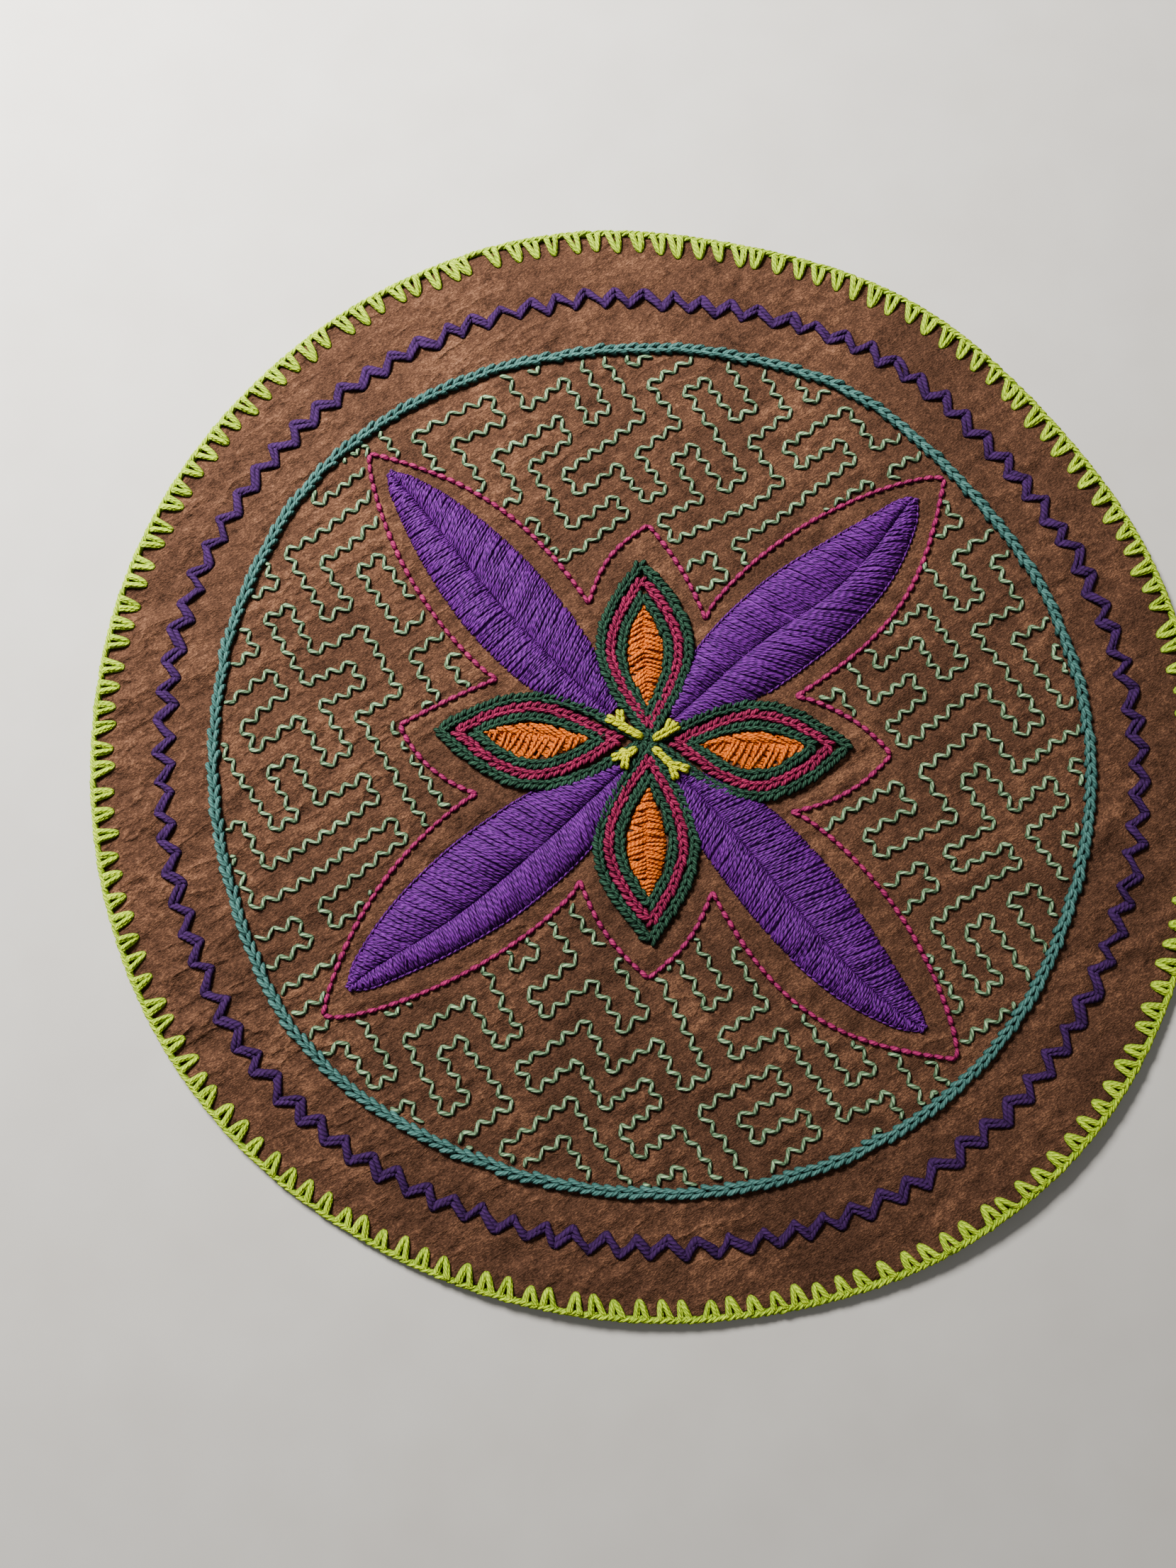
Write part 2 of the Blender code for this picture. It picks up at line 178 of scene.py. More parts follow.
# A whipping stitch round the rim, as the control points of a curve
WHIPPING = (
    # share of its slant, mm inside the outline, mm over the surface
    (1.0, 1.8, 1.3),
    (0.35, 1.5, 2.3),
    (-0.35, 0.9, 2.25),
    (-1.0, 0.68, 1.15),
)

# The rows of a satin strand: share of its length, mm under the padding's face, mm astray
SATIN_ROWS = ((0.0, 0.25, 0.0), (1.0 / 3.0, 0.0, 0.26), (2.0 / 3.0, 0.0, 0.26), (1.0, 0.15, 0.0))

# The petals: where they meet, how far out they start, the step from round to round, and how far outward they are widest
MEETING = np.array([0.0, 2.6])
PETAL_BASE = 2.6
BAND_PITCH = 3.0
LENS_SKEW = 1.08


class Line(Enum):
    """The round lines whose radii OUTLINE holds, in the order of its columns."""

    EDGING = 0
    ZIGZAG = 1
    RING = 2


class Half(Enum):
    """The two halves of a leaf, seen from its stalk."""

    LEFT = 1
    RIGHT = -1


def linear(red: int, green: int, blue: int) -> Rgb:
    """Turns a screen colour into linear light.

    Args:
        red: 0 to 255.
        green: 0 to 255.
        blue: 0 to 255.

    Returns:
        The three linear values.
    """
    shares = [channel / 255.0 for channel in (red, green, blue)]
    return tuple(s / 12.92 if s <= 0.04045 else ((s + 0.055) / 1.055) ** 2.4 for s in shares)


def smooth_step(share: np.ndarray) -> np.ndarray:
    """Eases a share from 0 to 1."""
    share = np.clip(share, 0.0, 1.0)
    return share * share * (3.0 - 2.0 * share)


def hermite(t: np.ndarray, start: np.ndarray, end: np.ndarray, rise: np.ndarray, fall: np.ndarray) -> np.ndarray:
    """Reads a cubic curve between two rows of a table.

    Args:
        t: the share of the way.
        start: the first row's value.
        end: the second row's value.
        rise: the slope at the first row.
        fall: the slope at the second row.

    Returns:
        The curve's values.
    """
    return (
        (2 * t**3 - 3 * t**2 + 1) * start
        + (t**3 - 2 * t**2 + t) * rise
        + (3 * t**2 - 2 * t**3) * end
        + (t**3 - t**2) * fall
    )


def smooth_curve(xs: np.ndarray, ys: np.ndarray, x: np.ndarray) -> np.ndarray:
    """Reads a smooth curve through a table's rows.

    Args:
        xs: where the rows are, rising.
        ys: the curve's height there.
        x: where it is read.

    Returns:
        Its height at x, held at its ends.
    """
    slopes = np.gradient(ys, xs)
    x = np.clip(x, xs[0], xs[-1])
    row = np.clip(np.searchsorted(xs, x, side="right") - 1, 0, len(xs) - 2)
    span = xs[row + 1] - xs[row]
    t = (x - xs[row]) / span
    return hermite(t, ys[row], ys[row + 1], slopes[row] * span, slopes[row + 1] * span)


def outline(line: Line, degrees: np.ndarray) -> np.ndarray:
    """The radius of one of the disc's round lines, on a smooth closed curve through OUTLINE.

    Args:
        line: which line.
        degrees: where round the disc.

    Returns:
        The radii.
    """
    column = OUTLINE[:, line.value]
    place = np.mod(degrees, 360.0) / OUTLINE_STEP
    row = np.floor(place).astype(int)
    t = place - row
    before, start, end, after = (column[(row + step) % len(column)] for step in (-1, 0, 1, 2))
    return hermite(t, start, end, (end - before) / 2.0, (after - start) / 2.0)


def polar(radius: np.ndarray, degrees: np.ndarray) -> np.ndarray:
    """Points at these radii and angles, one row each."""
    angle = np.radians(degrees)
    return np.stack([radius * np.cos(angle), radius * np.sin(angle)], axis=-1)


def unit(vectors: np.ndarray) -> np.ndarray:
    """The same directions at a length of one."""
    return vectors / np.maximum(np.linalg.norm(vectors, axis=-1, keepdims=True), 1e-9)


def left_of(vectors: np.ndarray) -> np.ndarray:
    """Plane directions turned a quarter turn to the left."""
    return np.stack([-vectors[..., 1], vectors[..., 0]], axis=-1)


def walk(points: np.ndarray, pitch: float) -> np.ndarray:
    """Marks off even steps along a line of points.

    Args:
        points: the line, one row a point.
        pitch: about how long a step is.

    Returns:
        The marks, from the line's first point to its last.
    """
    lengths = np.concatenate([[0.0], np.cumsum(np.linalg.norm(np.diff(points, axis=0), axis=1))])
    steps = max(1, round(lengths[-1] / pitch))
    marks = np.linspace(0.0, lengths[-1], steps + 1)
    return np.stack([np.interp(marks, lengths, points[:, axis]) for axis in range(points.shape[1])], axis=1)


def close_round(points: np.ndarray) -> np.ndarray:
    """A round of points with its first one repeated at its end."""
    return np.vstack([points, points[:1]])


def add_primitive(operator: Callable[..., object], **settings: object) -> bpy.types.Object:
    """Adds a primitive with nothing else selected.

    Args:
        operator: the one that adds it.
        settings: its size and place.

    Returns:
        The new object.
    """
    bpy.ops.object.select_all(action="DESELECT")
    operator(**settings)
    return bpy.context.object


def read_places(mesh: bpy.types.Mesh) -> np.ndarray:
    """Reads a mesh's vertices.

    Args:
        mesh: the mesh.

    Returns:
        Their places, one row each.
    """
    flat = np.zeros(len(mesh.vertices) * 3)
    mesh.vertices.foreach_get("co", flat)
    return flat.reshape(-1, 3)


def thicken(obj: bpy.types.Object, thickness: float) -> None:
    """Gives a sheet its thickness, under its face.

    Args:
        obj: the sheet.
        thickness: in its mesh's own unit.
    """
    solid = obj.modifiers.new("thickness", "SOLIDIFY")
    solid.thickness = thickness
    solid.offset = -1.0
    bpy.context.view_layer.objects.active = obj
    bpy.ops.object.modifier_apply(modifier=solid.name)


@dataclass
class Waves:
    """A sum of slow sine waves, which wrinkles cloth."""

    seed: int
    count: int
    shortest: float
    longest: float
    height: float
    heading: float = 0.0
    spread: float = 180.0
    swirl: float = 0.6
    swirl_rate: float = 0.31

    def __post_init__(self) -> None:
        """Draws the waves."""
        rng = np.random.default_rng(self.seed)
        length = rng.uniform(self.shortest, self.longest, self.count)
        angle = np.radians(self.heading + 90.0 + rng.normal(0.0, self.spread, self.count))
        self.number = 2.0 * math.pi / length
        self.toward = np.stack([np.cos(angle), np.sin(angle)], axis=-1)
        self.phase = rng.uniform(0.0, 2.0 * math.pi, (self.count, 2))
        self.share = length / length.sum() * math.sqrt(2.0 * self.count)

    def at(self, x: np.ndarray, y: np.ndarray) -> np.ndarray:
        """Adds the waves up.

        Args:
            x: of the places on the cloth.
            y: of the places on the cloth.

        Returns:
            The height there.
        """
        total = np.zeros_like(x)
        for number, toward, phase, share in zip(self.number, self.toward, self.phase, self.share):
            along = x * toward[0] + y * toward[1]
            side = y * toward[0] - x * toward[1]
            bend = self.swirl * np.sin(side * number * self.swirl_rate + phase[1])
            total += share * np.sin(along * number + phase[0] + 2.0 * bend)
        return self.height * total / 2.0


@dataclass
class Ground:
    """The shape that the cloth lies in, which every stitch follows."""

    thickness: float = 1.2
    dip: float = 0.42
    dip_spread: float = 1.3
    dip_share: float = 0.6
    deepest_dip: float = 1.4
    calm_beside_stitches: float = 0.6
    cell: float = 0.6
    reach: float = 171.0
    long_waves: Waves = field(default_factory=lambda: Waves(11, 16, 7.0, 20.0, 0.5, 29.0, 12.0, 1.1))
    short_waves: Waves = field(default_factory=lambda: Waves(12, 22, 3.8, 8.0, 0.17, 31.0, 32.0))
    patches: Waves = field(default_factory=lambda: Waves(13, 7, 50.0, 110.0, 0.8))

    def __post_init__(self) -> None:
        """Starts with no stitches in the cloth."""
        self.pulls: list[np.ndarray] = []
        self.side = int(2.0 * self.reach / self.cell)
        self.dips = np.zeros((self.side, self.side))

    def lift(self, x: np.ndarray, y: np.ndarray) -> np.ndarray:
        """How far the cloth's underside stands off the surface.

        Args:
            x: of the places on the cloth.
            y: of the places on the cloth.

        Returns:
            Its height there.
        """
        height = np.zeros_like(x)
        for crease_x, crease_y, heading, half_length, half_width, crest in CREASES:
            cos, sin = math.cos(math.radians(heading)), math.sin(math.radians(heading))
            along = (x - crease_x) * cos + (y - crease_y) * sin
            across = (y - crease_y) * cos - (x - crease_x) * sin
            fade = smooth_step(1.5 * (1.0 - np.abs(along) / half_length))
            height = np.maximum(height, crest * fade * np.exp(-((across / half_width) ** 2)))
        degrees = np.degrees(np.arctan2(y, x))
        out = (np.hypot(x, y) - CURL_START) / (outline(Line.EDGING, degrees) - CURL_START)
        for angle, spread, crest in RIM_CURLS:
            turn = np.abs((degrees - angle + 180.0) % 360.0 - 180.0)
            height = height + crest * smooth_step(out) ** 2 * smooth_step(1.0 - turn / spread)
        return height

    def press(self, points: np.ndarray, weight: float) -> None:
        """Notes a line of stitches, which draws the cloth down.

        Args:
            points: places every cell or so along it.
            weight: how hard it draws.
        """
        self.pulls.append(np.column_stack([points, np.full(len(points), weight)]))

    def settle(self) -> None:
        """Works out the dips once all the lines are noted."""
        pulls = np.concatenate(self.pulls)
        edges = np.linspace(-self.reach, self.reach, self.side + 1)
        counts, _, _ = np.histogram2d(pulls[:, 0], pulls[:, 1], bins=(edges, edges), weights=pulls[:, 2])
        waves = np.fft.fftfreq(self.side, self.cell)[:, None] ** 2 + np.fft.rfftfreq(self.side, self.cell)[None] ** 2
        blur = np.exp(-2.0 * math.pi**2 * self.dip_spread**2 * waves)
        density = np.fft.irfft2(np.fft.rfft2(counts) * blur, s=counts.shape) / self.cell
        share = density * self.dip_spread * math.sqrt(2.0 * math.pi) / self.cell * self.dip_share
        self.dips = np.clip(share, 0.0, self.deepest_dip)

    def dip_at(self, x: np.ndarray, y: np.ndarray) -> np.ndarray:
        """The share of a full dip that the stitches make.

        Args:
            x: of the places on the cloth.
            y: of the places on the cloth.

        Returns:
            The share there.
        """
        across = np.clip((x + self.reach) / self.cell - 0.5, 0.0, self.side - 1.001)
        up = np.clip((y + self.reach) / self.cell - 0.5, 0.0, self.side - 1.001)
        i, j = across.astype(int), up.astype(int)
        u, v = across - i, up - j
        low = self.dips[i, j] * (1.0 - u) + self.dips[i + 1, j] * u
        high = self.dips[i, j + 1] * (1.0 - u) + self.dips[i + 1, j + 1] * u
        return low * (1.0 - v) + high * v

    def top(self, x: np.ndarray, y: np.ndarray) -> np.ndarray:
        """The height of the cloth's upper face.

        Args:
            x: of the places on the cloth.
            y: of the places on the cloth.

        Returns:
            Its height there.
        """
        dip = self.dip_at(x, y)
        strength = 0.65 + 0.5 * np.clip(self.patches.at(x, y), -1.0, 1.0)
        wrinkles = self.long_waves.at(x, y) * strength + self.short_waves.at(x, y)
        fade = 1.0 - self.calm_beside_stitches * np.clip(dip, 0.0, 1.0)
        return self.lift(x, y) + self.thickness + wrinkles * fade - self.dip * dip

    def seat(self, points: np.ndarray, height: float | np.ndarray = 0.0) -> np.ndarray:
        """Plane points set at a height over the cloth's upper face."""
        return np.concatenate([points, (self.top(points[..., 0], points[..., 1]) + height)[..., None]], axis=-1)


@dataclass(frozen=True)
class Template:
    """One stitch, held as arrays so that copies of it can be laid."""

    points: np.ndarray
    corners: np.ndarray
    sizes: np.ndarray
    uv: np.ndarray


class StitchKit:
    """Models each kind of stitch once, by hand tools."""

    def __init__(self) -> None:
        """Models the stitches that are used, each one unit long."""
        self.short = self.twisted(8, (0.08, 0.22, 0.42, 0.6, 0.78, 0.92), 0.4, 0.86, 0.40, 0.40)
        self.bar = self.twisted(8, (0.06, 0.2, 0.4, 0.6, 0.8, 0.94), 0.3, 0.88, 0.5, 0.2)
        self.grain = self.twisted(8, (0.10, 0.28, 0.5, 0.72, 0.90), 0.4, 0.92, 0.36, 0.34)
        self.arm = self.twisted(8, (0.10, 0.28, 0.46, 0.64, 0.82, 0.94), 0.5, 0.86, 0.55, 0.18)
        self.long = self.twisted(8, (0.06, 0.18, 0.34, 0.5, 0.66, 0.82, 0.94), 0.7, 0.86, 0.60, 0.12)
        self.satin = self.twisted(6, (0.05, 0.2, 0.4, 0.6, 0.8, 0.95), 0.5, 0.95, 0.45, 0.12)

    @staticmethod
    def choose(obj: bpy.types.Object, keep: Callable[[Vector], bool]) -> None:
        """Selects vertices by their place, in edit mode.

        Args:
            obj: the stitch.
            keep: the test that a selected vertex's place passes.
        """
        mesh = bmesh.from_edit_mesh(obj.data)
        for vert in mesh.verts:
            vert.select = bool(keep(vert.co))
        mesh.select_flush_mode()
        bmesh.update_edit_mesh(obj.data)

    @staticmethod
    def finish(obj: bpy.types.Object, uv: np.ndarray) -> Template:
        """Reads the modelled stitch into arrays and removes its object.

        Args:
            obj: the stitch, in object mode.
            uv: one row for each face corner.

        Returns:
            The template.
        """
        mesh = obj.data
        points = read_places(mesh)
        corners = np.zeros(len(mesh.loops), int)
        mesh.loops.foreach_get("vertex_index", corners)
        sizes = np.zeros(len(mesh.polygons), int)
        mesh.polygons.foreach_get("loop_total", sizes)
        bpy.data.objects.remove(obj, do_unlink=True)
        return Template(points, corners, sizes, uv)

    @staticmethod
    def wrap(along: np.ndarray, around: np.ndarray, mesh: bpy.types.Mesh, closed: bool) -> np.ndarray:
        """Unwraps a tube so that no face runs across the seam.

        Args:
            along: each vertex's share of the way along.
            around: each vertex's share of the way round.
            mesh: the tube.
            closed: whether its ends meet.

        Returns:
            One row for each face corner.
        """
        uv = np.zeros((len(mesh.loops), 2))
        for face in mesh.polygons:
            verts = list(face.vertices)
            for column, values, cyclic in ((0, along, closed), (1, around, len(verts) == 4)):
                row = values[verts].copy()
                if cyclic and row.max() - row.min() > 0.5:
                    row[row < 0.5] += 1.0
                uv[face.loop_start:face.loop_start + len(verts), column] = row
        return uv

    def twisted(
        self, sides: int, stations: tuple[float, ...], turns: float, flat: float, blunt: float, taper: float
    ) -> Template:
        """A straight stitch of twisted yarn along X from 0 to 1, one unit in radius.

        Args:
            sides: of its section.
            stations: where along it the section turns.
            turns: how often the plies go round in its length.
            flat: the section's height as a share of its width, which shows the two plies.
            blunt: the size of its ends.
            taper: the share of its length over which it grows to its full size.

        Returns:
            The template.
        """
        obj = add_primitive(
            bpy.ops.mesh.primitive_cylinder_add,
            vertices=sides, radius=1.0, depth=1.0, location=(0.5, 0.0, 0.0), rotation=(0.0, math.pi / 2.0, 0.0),
        )
        bpy.ops.object.transform_apply(location=True, rotation=True, scale=True)
        bpy.ops.object.mode_set(mode="EDIT")
        bpy.ops.mesh.select_mode(type="VERT")
        for station in stations:
            bpy.ops.mesh.select_all(action="SELECT")
            bpy.ops.mesh.bisect(plane_co=(station, 0.0, 0.0), plane_no=(1.0, 0.0, 0.0))
        bpy.ops.object.mode_set(mode="OBJECT")
        places = read_places(obj.data)
        around = np.arctan2(places[:, 2], places[:, 1]) / (2.0 * math.pi) % 1.0
        uv = self.wrap(places[:, 0], around, obj.data, False)
        bpy.ops.object.mode_set(mode="EDIT")
        bpy.ops.mesh.select_all(action="SELECT")
        bpy.ops.transform.resize(value=(1.0, 1.0, flat))
        for station in (0.0, *stations, 1.0):
            self.choose(obj, lambda place, x=station: abs(place.x - x) < 1e-4)
            nearest = min(station, 1.0 - station)
            size = blunt + (1.0 - blunt) * min(1.0, nearest / taper) ** 0.5
            centre = (station, 0.0, 0.0)
            bpy.ops.transform.resize(value=(1.0, size, size), center_override=centre)
            bpy.ops.transform.rotate(value=2.0 * math.pi * turns * station, orient_axis="X", center_override=centre)
        bpy.ops.object.mode_set(mode="OBJECT")
        return self.finish(obj, uv)


class Batch:
    """Copies of stitches, gathered to be joined in one mesh."""

    def __init__(self, seed: int) -> None:
        """Starts empty.

        Args:
            seed: of the small differences between the copies.
        """
        self.rng = np.random.default_rng(seed)
        self.points: list[np.ndarray] = []
        self.corners: list[np.ndarray] = []
        self.sizes: list[np.ndarray] = []
        self.uv: list[np.ndarray] = []
        self.tint: list[np.ndarray] = []
        self.count = 0

    def add(self, template: Template, points: np.ndarray, lengths: np.ndarray | float, tint: float = 1.0) -> None:
        """Adds copies of one stitch.

        Args:
            template: the stitch.
            points: its vertices' places in each copy.
            lengths: of the yarn in each copy, which the yarn's pattern follows.
            tint: how much the copies differ in colour.
        """
        copies, verts, _ = points.shape
        starts = self.count + verts * np.arange(copies)
        uv = np.tile(template.uv, (copies, 1, 1))
        uv[..., 0] = uv[..., 0] * np.broadcast_to(lengths, copies)[:, None] + self.rng.uniform(0.0, 40.0, (copies, 1))
        self.points.append(points.reshape(-1, 3))
        self.corners.append((template.corners[None, :] + starts[:, None]).ravel())
        self.sizes.append(np.tile(template.sizes, copies))
        self.uv.append(uv.reshape(-1, 2))
        self.tint.append(np.repeat(0.5 + tint * self.rng.uniform(-0.5, 0.5, copies), verts))
        self.count += copies * verts

    def bend(
        self, template: Template, controls: np.ndarray, width: np.ndarray | float, height: np.ndarray | float
    ) -> None:
        """Adds copies of a straight stitch, each bent along its own curve.

        Args:
            template: a unit stitch along X.
            controls: four control points of a Bezier curve for each copy.
            width: of the yarn.
            height: of the yarn.
        """
        u = template.points[:, 0]
        shape = np.stack([(1 - u) ** 3, 3 * u * (1 - u) ** 2, 3 * u**2 * (1 - u), u**3])
        slope = np.stack(
            [-3 * (1 - u) ** 2, 3 * (1 - u) ** 2 - 6 * u * (1 - u), 6 * u * (1 - u) - 3 * u**2, 3 * u**2]
        )
        centre = np.einsum("kv,nkc->nvc", shape, controls)
        along = unit(np.einsum("kv,nkc->nvc", slope, controls))
        side = unit(np.cross(np.array([0.0, 0.0, 1.0]), along))
        up = np.cross(along, side)
        half_width = np.broadcast_to(width, len(controls))[:, None] / 2.0
        half_height = np.broadcast_to(height, len(controls))[:, None] / 2.0
        wide = (half_width * template.points[:, 1])[..., None]
        high = (half_height * template.points[:, 2])[..., None]
        lengths = np.linalg.norm(controls[:, 3] - controls[:, 0], axis=1)
        self.add(template, centre + side * wide + up * high, lengths)

    def link(
        self,
        kit: StitchKit,
        ground: Ground,
        start: np.ndarray,
        along: np.ndarray,
        width: float,
        yarn: float,
        lift: float = 0.0,
        arm: Arm = LINK_ARM,
    ) -> None:
        """Adds chain stitches: two arms each, which part from a hole in the cloth and close round the next one.

        Args:
            kit: the modelled stitches.
            ground: the cloth.
            start: where each comes up.
            along: from there to its round end.
            width: over both arms.
            yarn: the yarn's thickness.
            lift: what it lies on stands this far off the cloth.
            arm: the shape of an arm.
        """
        wide = (width - yarn) / 2.0 * self.rng.uniform(0.88, 1.12, (len(start), 1))
        across = left_of(unit(along)) * wide
        thick = yarn * self.rng.uniform(0.9, 1.1, len(start))
        for side in (-1.0, 1.0):
            rows = [
                ground.seat(start + along * ahead + across * (side * out), yarn * height + lift)
                for ahead, out, height in arm
            ]
            self.bend(kit.arm, np.stack(rows, axis=1), thick, thick * 0.9)

    def build(self, name: str, finish: "YarnFinish") -> bpy.types.Object:
        """Joins the copies in one object.

        Args:
            name: of the piece.
            finish: of its yarn.

        Returns:
            The object.
        """
        corners, sizes = np.concatenate(self.corners), np.concatenate(self.sizes)
        mesh = bpy.data.meshes.new(name)
        mesh.vertices.add(self.count)
        mesh.vertices.foreach_set("co", (np.concatenate(self.points) * MM).astype(np.float32).ravel())
        mesh.loops.add(len(corners))
        mesh.loops.foreach_set("vertex_index", corners.astype(np.int32))
        mesh.polygons.add(len(sizes))
        mesh.polygons.foreach_set("loop_start", (np.cumsum(sizes) - sizes).astype(np.int32))
        mesh.update(calc_edges=True)
        layer = mesh.uv_layers.new(name="yarn")
        layer.uv.foreach_set("vector", np.concatenate(self.uv).astype(np.float32).ravel())
        tint = mesh.attributes.new("tint", "FLOAT", "POINT")
        tint.data.foreach_set("value", np.concatenate(self.tint).astype(np.float32))
        mesh.validate()
        mesh.shade_smooth()
        mesh.materials.append(finish.material())
        obj = bpy.data.objects.new(name, mesh)
        bpy.context.scene.collection.objects.link(obj)
        return obj


def bridge(
    ground: Ground,
    start: np.ndarray,
    end: np.ndarray,
    rise: np.ndarray | float,
    sink: np.ndarray | float,
    bow: np.ndarray | float = 0.0,
    sway: np.ndarray | float = 0.0,
) -> np.ndarray:
    """Curves of stitches that come up out of the cloth, lie on it and go down again.

    Args:
        ground: the cloth.
        start: where they come up.
        end: where they go down.
        rise: the middle's height over the cloth.
        sink: the ends' depth under its face.
        bow: how far the middle lies to the left.
        sway: how far the first half leans to the left and the second to the right.

    Returns:
        Four control points for each.
    """
    way = end - start
    side = left_of(unit(way))
    bowed, swayed, rise, sink = (np.broadcast_to(shift, len(start)) for shift in (bow, sway, rise, sink))
    bowed, swayed = bowed[:, None] / MIDDLE_SHARE, swayed[:, None] / MIDDLE_SHARE
    first, second = start + 0.28 * way + side * (bowed + swayed), start + 0.72 * way + side * (bowed - swayed)
    lifted = rise / MIDDLE_SHARE + sink * (1.0 - MIDDLE_SHARE) / MIDDLE_SHARE
    heights = ((start, -sink), (first, lifted), (second, lifted), (end, -sink))
    return np.stack([ground.seat(points, height) for points, height in heights], axis=1)


class Bench:
    """Adds and joins the nodes of one material."""

    def __init__(self, name: str) -> None:
        """Starts a material with its shader.

        Args:
            name: of the material.
        """
        self.material = bpy.data.materials.new(name)
        self.material.use_nodes = True
        self.tree = self.material.node_tree
        self.shader = self.tree.nodes["Principled BSDF"]

    def node(self, kind: str, sockets: dict[str | int, object] | None = None, **settings: object) -> bpy.types.Node:
        """Adds a node.

        Args:
            kind: its type.
            sockets: what each input is set to or joined with.
            settings: its own properties.

        Returns:
            The node.
        """
        made = self.tree.nodes.new(kind)
        for name, value in settings.items():
            setattr(made, name, value)
        for name, value in (sockets or {}).items():
            self.put(made.inputs[name], value)
        return made

    def put(self, socket: bpy.types.NodeSocket, value: object) -> None:
        """Sets an input, or joins an output to it.

        Args:
            socket: the input.
            value: a value or an output.
        """
        if isinstance(value, bpy.types.NodeSocket):
            self.tree.links.new(value, socket)
        else:
            socket.default_value = value

    def sum(self, kind: str, first: object, second: object = 0.0) -> bpy.types.NodeSocket:
        """The output of a Math node.

        Args:
            kind: its operation.
            first: a number or an output.
            second: a number or an output.

        Returns:
            The output.
        """
        return self.node("ShaderNodeMath", {0: first, 1: second}, operation=kind).outputs[0]

    def total(self, *parts: tuple[object, float]) -> bpy.types.NodeSocket:
        """Adds outputs up, each with its weight.

        Args:
            parts: an output and its weight each.

        Returns:
            Their sum.
        """
        whole, *others = [self.sum("MULTIPLY", value, weight) for value, weight in parts]
        for other in others:
            whole = self.sum("ADD", whole, other)
        return whole

    def noise(self, place: object, scale: float, detail: float = 2.0, rough: float = 0.5) -> bpy.types.NodeSocket:
        """A noise pattern's value at a place."""
        made = self.node("ShaderNodeTexNoise", {"Vector": place, "Scale": scale, "Detail": detail, "Roughness": rough})
        return made.outputs["Fac"]

    def between(
        self, value: object, low: float, high: float, start: float = 0.0, end: float = 1.0
    ) -> bpy.types.NodeSocket:
        """A value mapped from one range to another and held inside it."""
        sockets = {"Value": value, "From Min": low, "From Max": high, "To Min": start, "To Max": end}
        return self.node("ShaderNodeMapRange", sockets).outputs["Result"]

    def blend(self, share: object, first: object, second: object) -> bpy.types.NodeSocket:
        """Mixes two colours.

        Args:
            share: of the second colour.
            first: a colour or an output.
            second: a colour or an output.

        Returns:
            The mixed colour.
        """
        made = self.node("ShaderNodeMix", data_type="RGBA")
        for socket, value in zip((0, 6, 7), (share, first, second)):
            self.put(made.inputs[socket], value)
        return made.outputs[2]

    def bump(self, height: object, strength: object, depth: float, under: object = None) -> bpy.types.NodeSocket:
        """Turns a height into relief.

        Args:
            height: the output that gives it.
            strength: of the relief.
            depth: from its lowest to its highest place, in metres.
            under: the normal of the relief that it lies on.

        Returns:
            The normal.
        """
        sockets = {"Strength": strength, "Distance": depth, "Height": height}
        if under:
            sockets["Normal"] = under
        return self.node("ShaderNodeBump", sockets).outputs[0]

    def finish(self, **sockets: object) -> bpy.types.Material:
        """Sets the shader.

        Args:
            sockets: what its inputs are set to or joined with, by their names with _ for a space.

        Returns:
            The material.
        """
        for name, value in sockets.items():
            self.put(self.shader.inputs[name.replace("_", " ")], value)
        return self.material


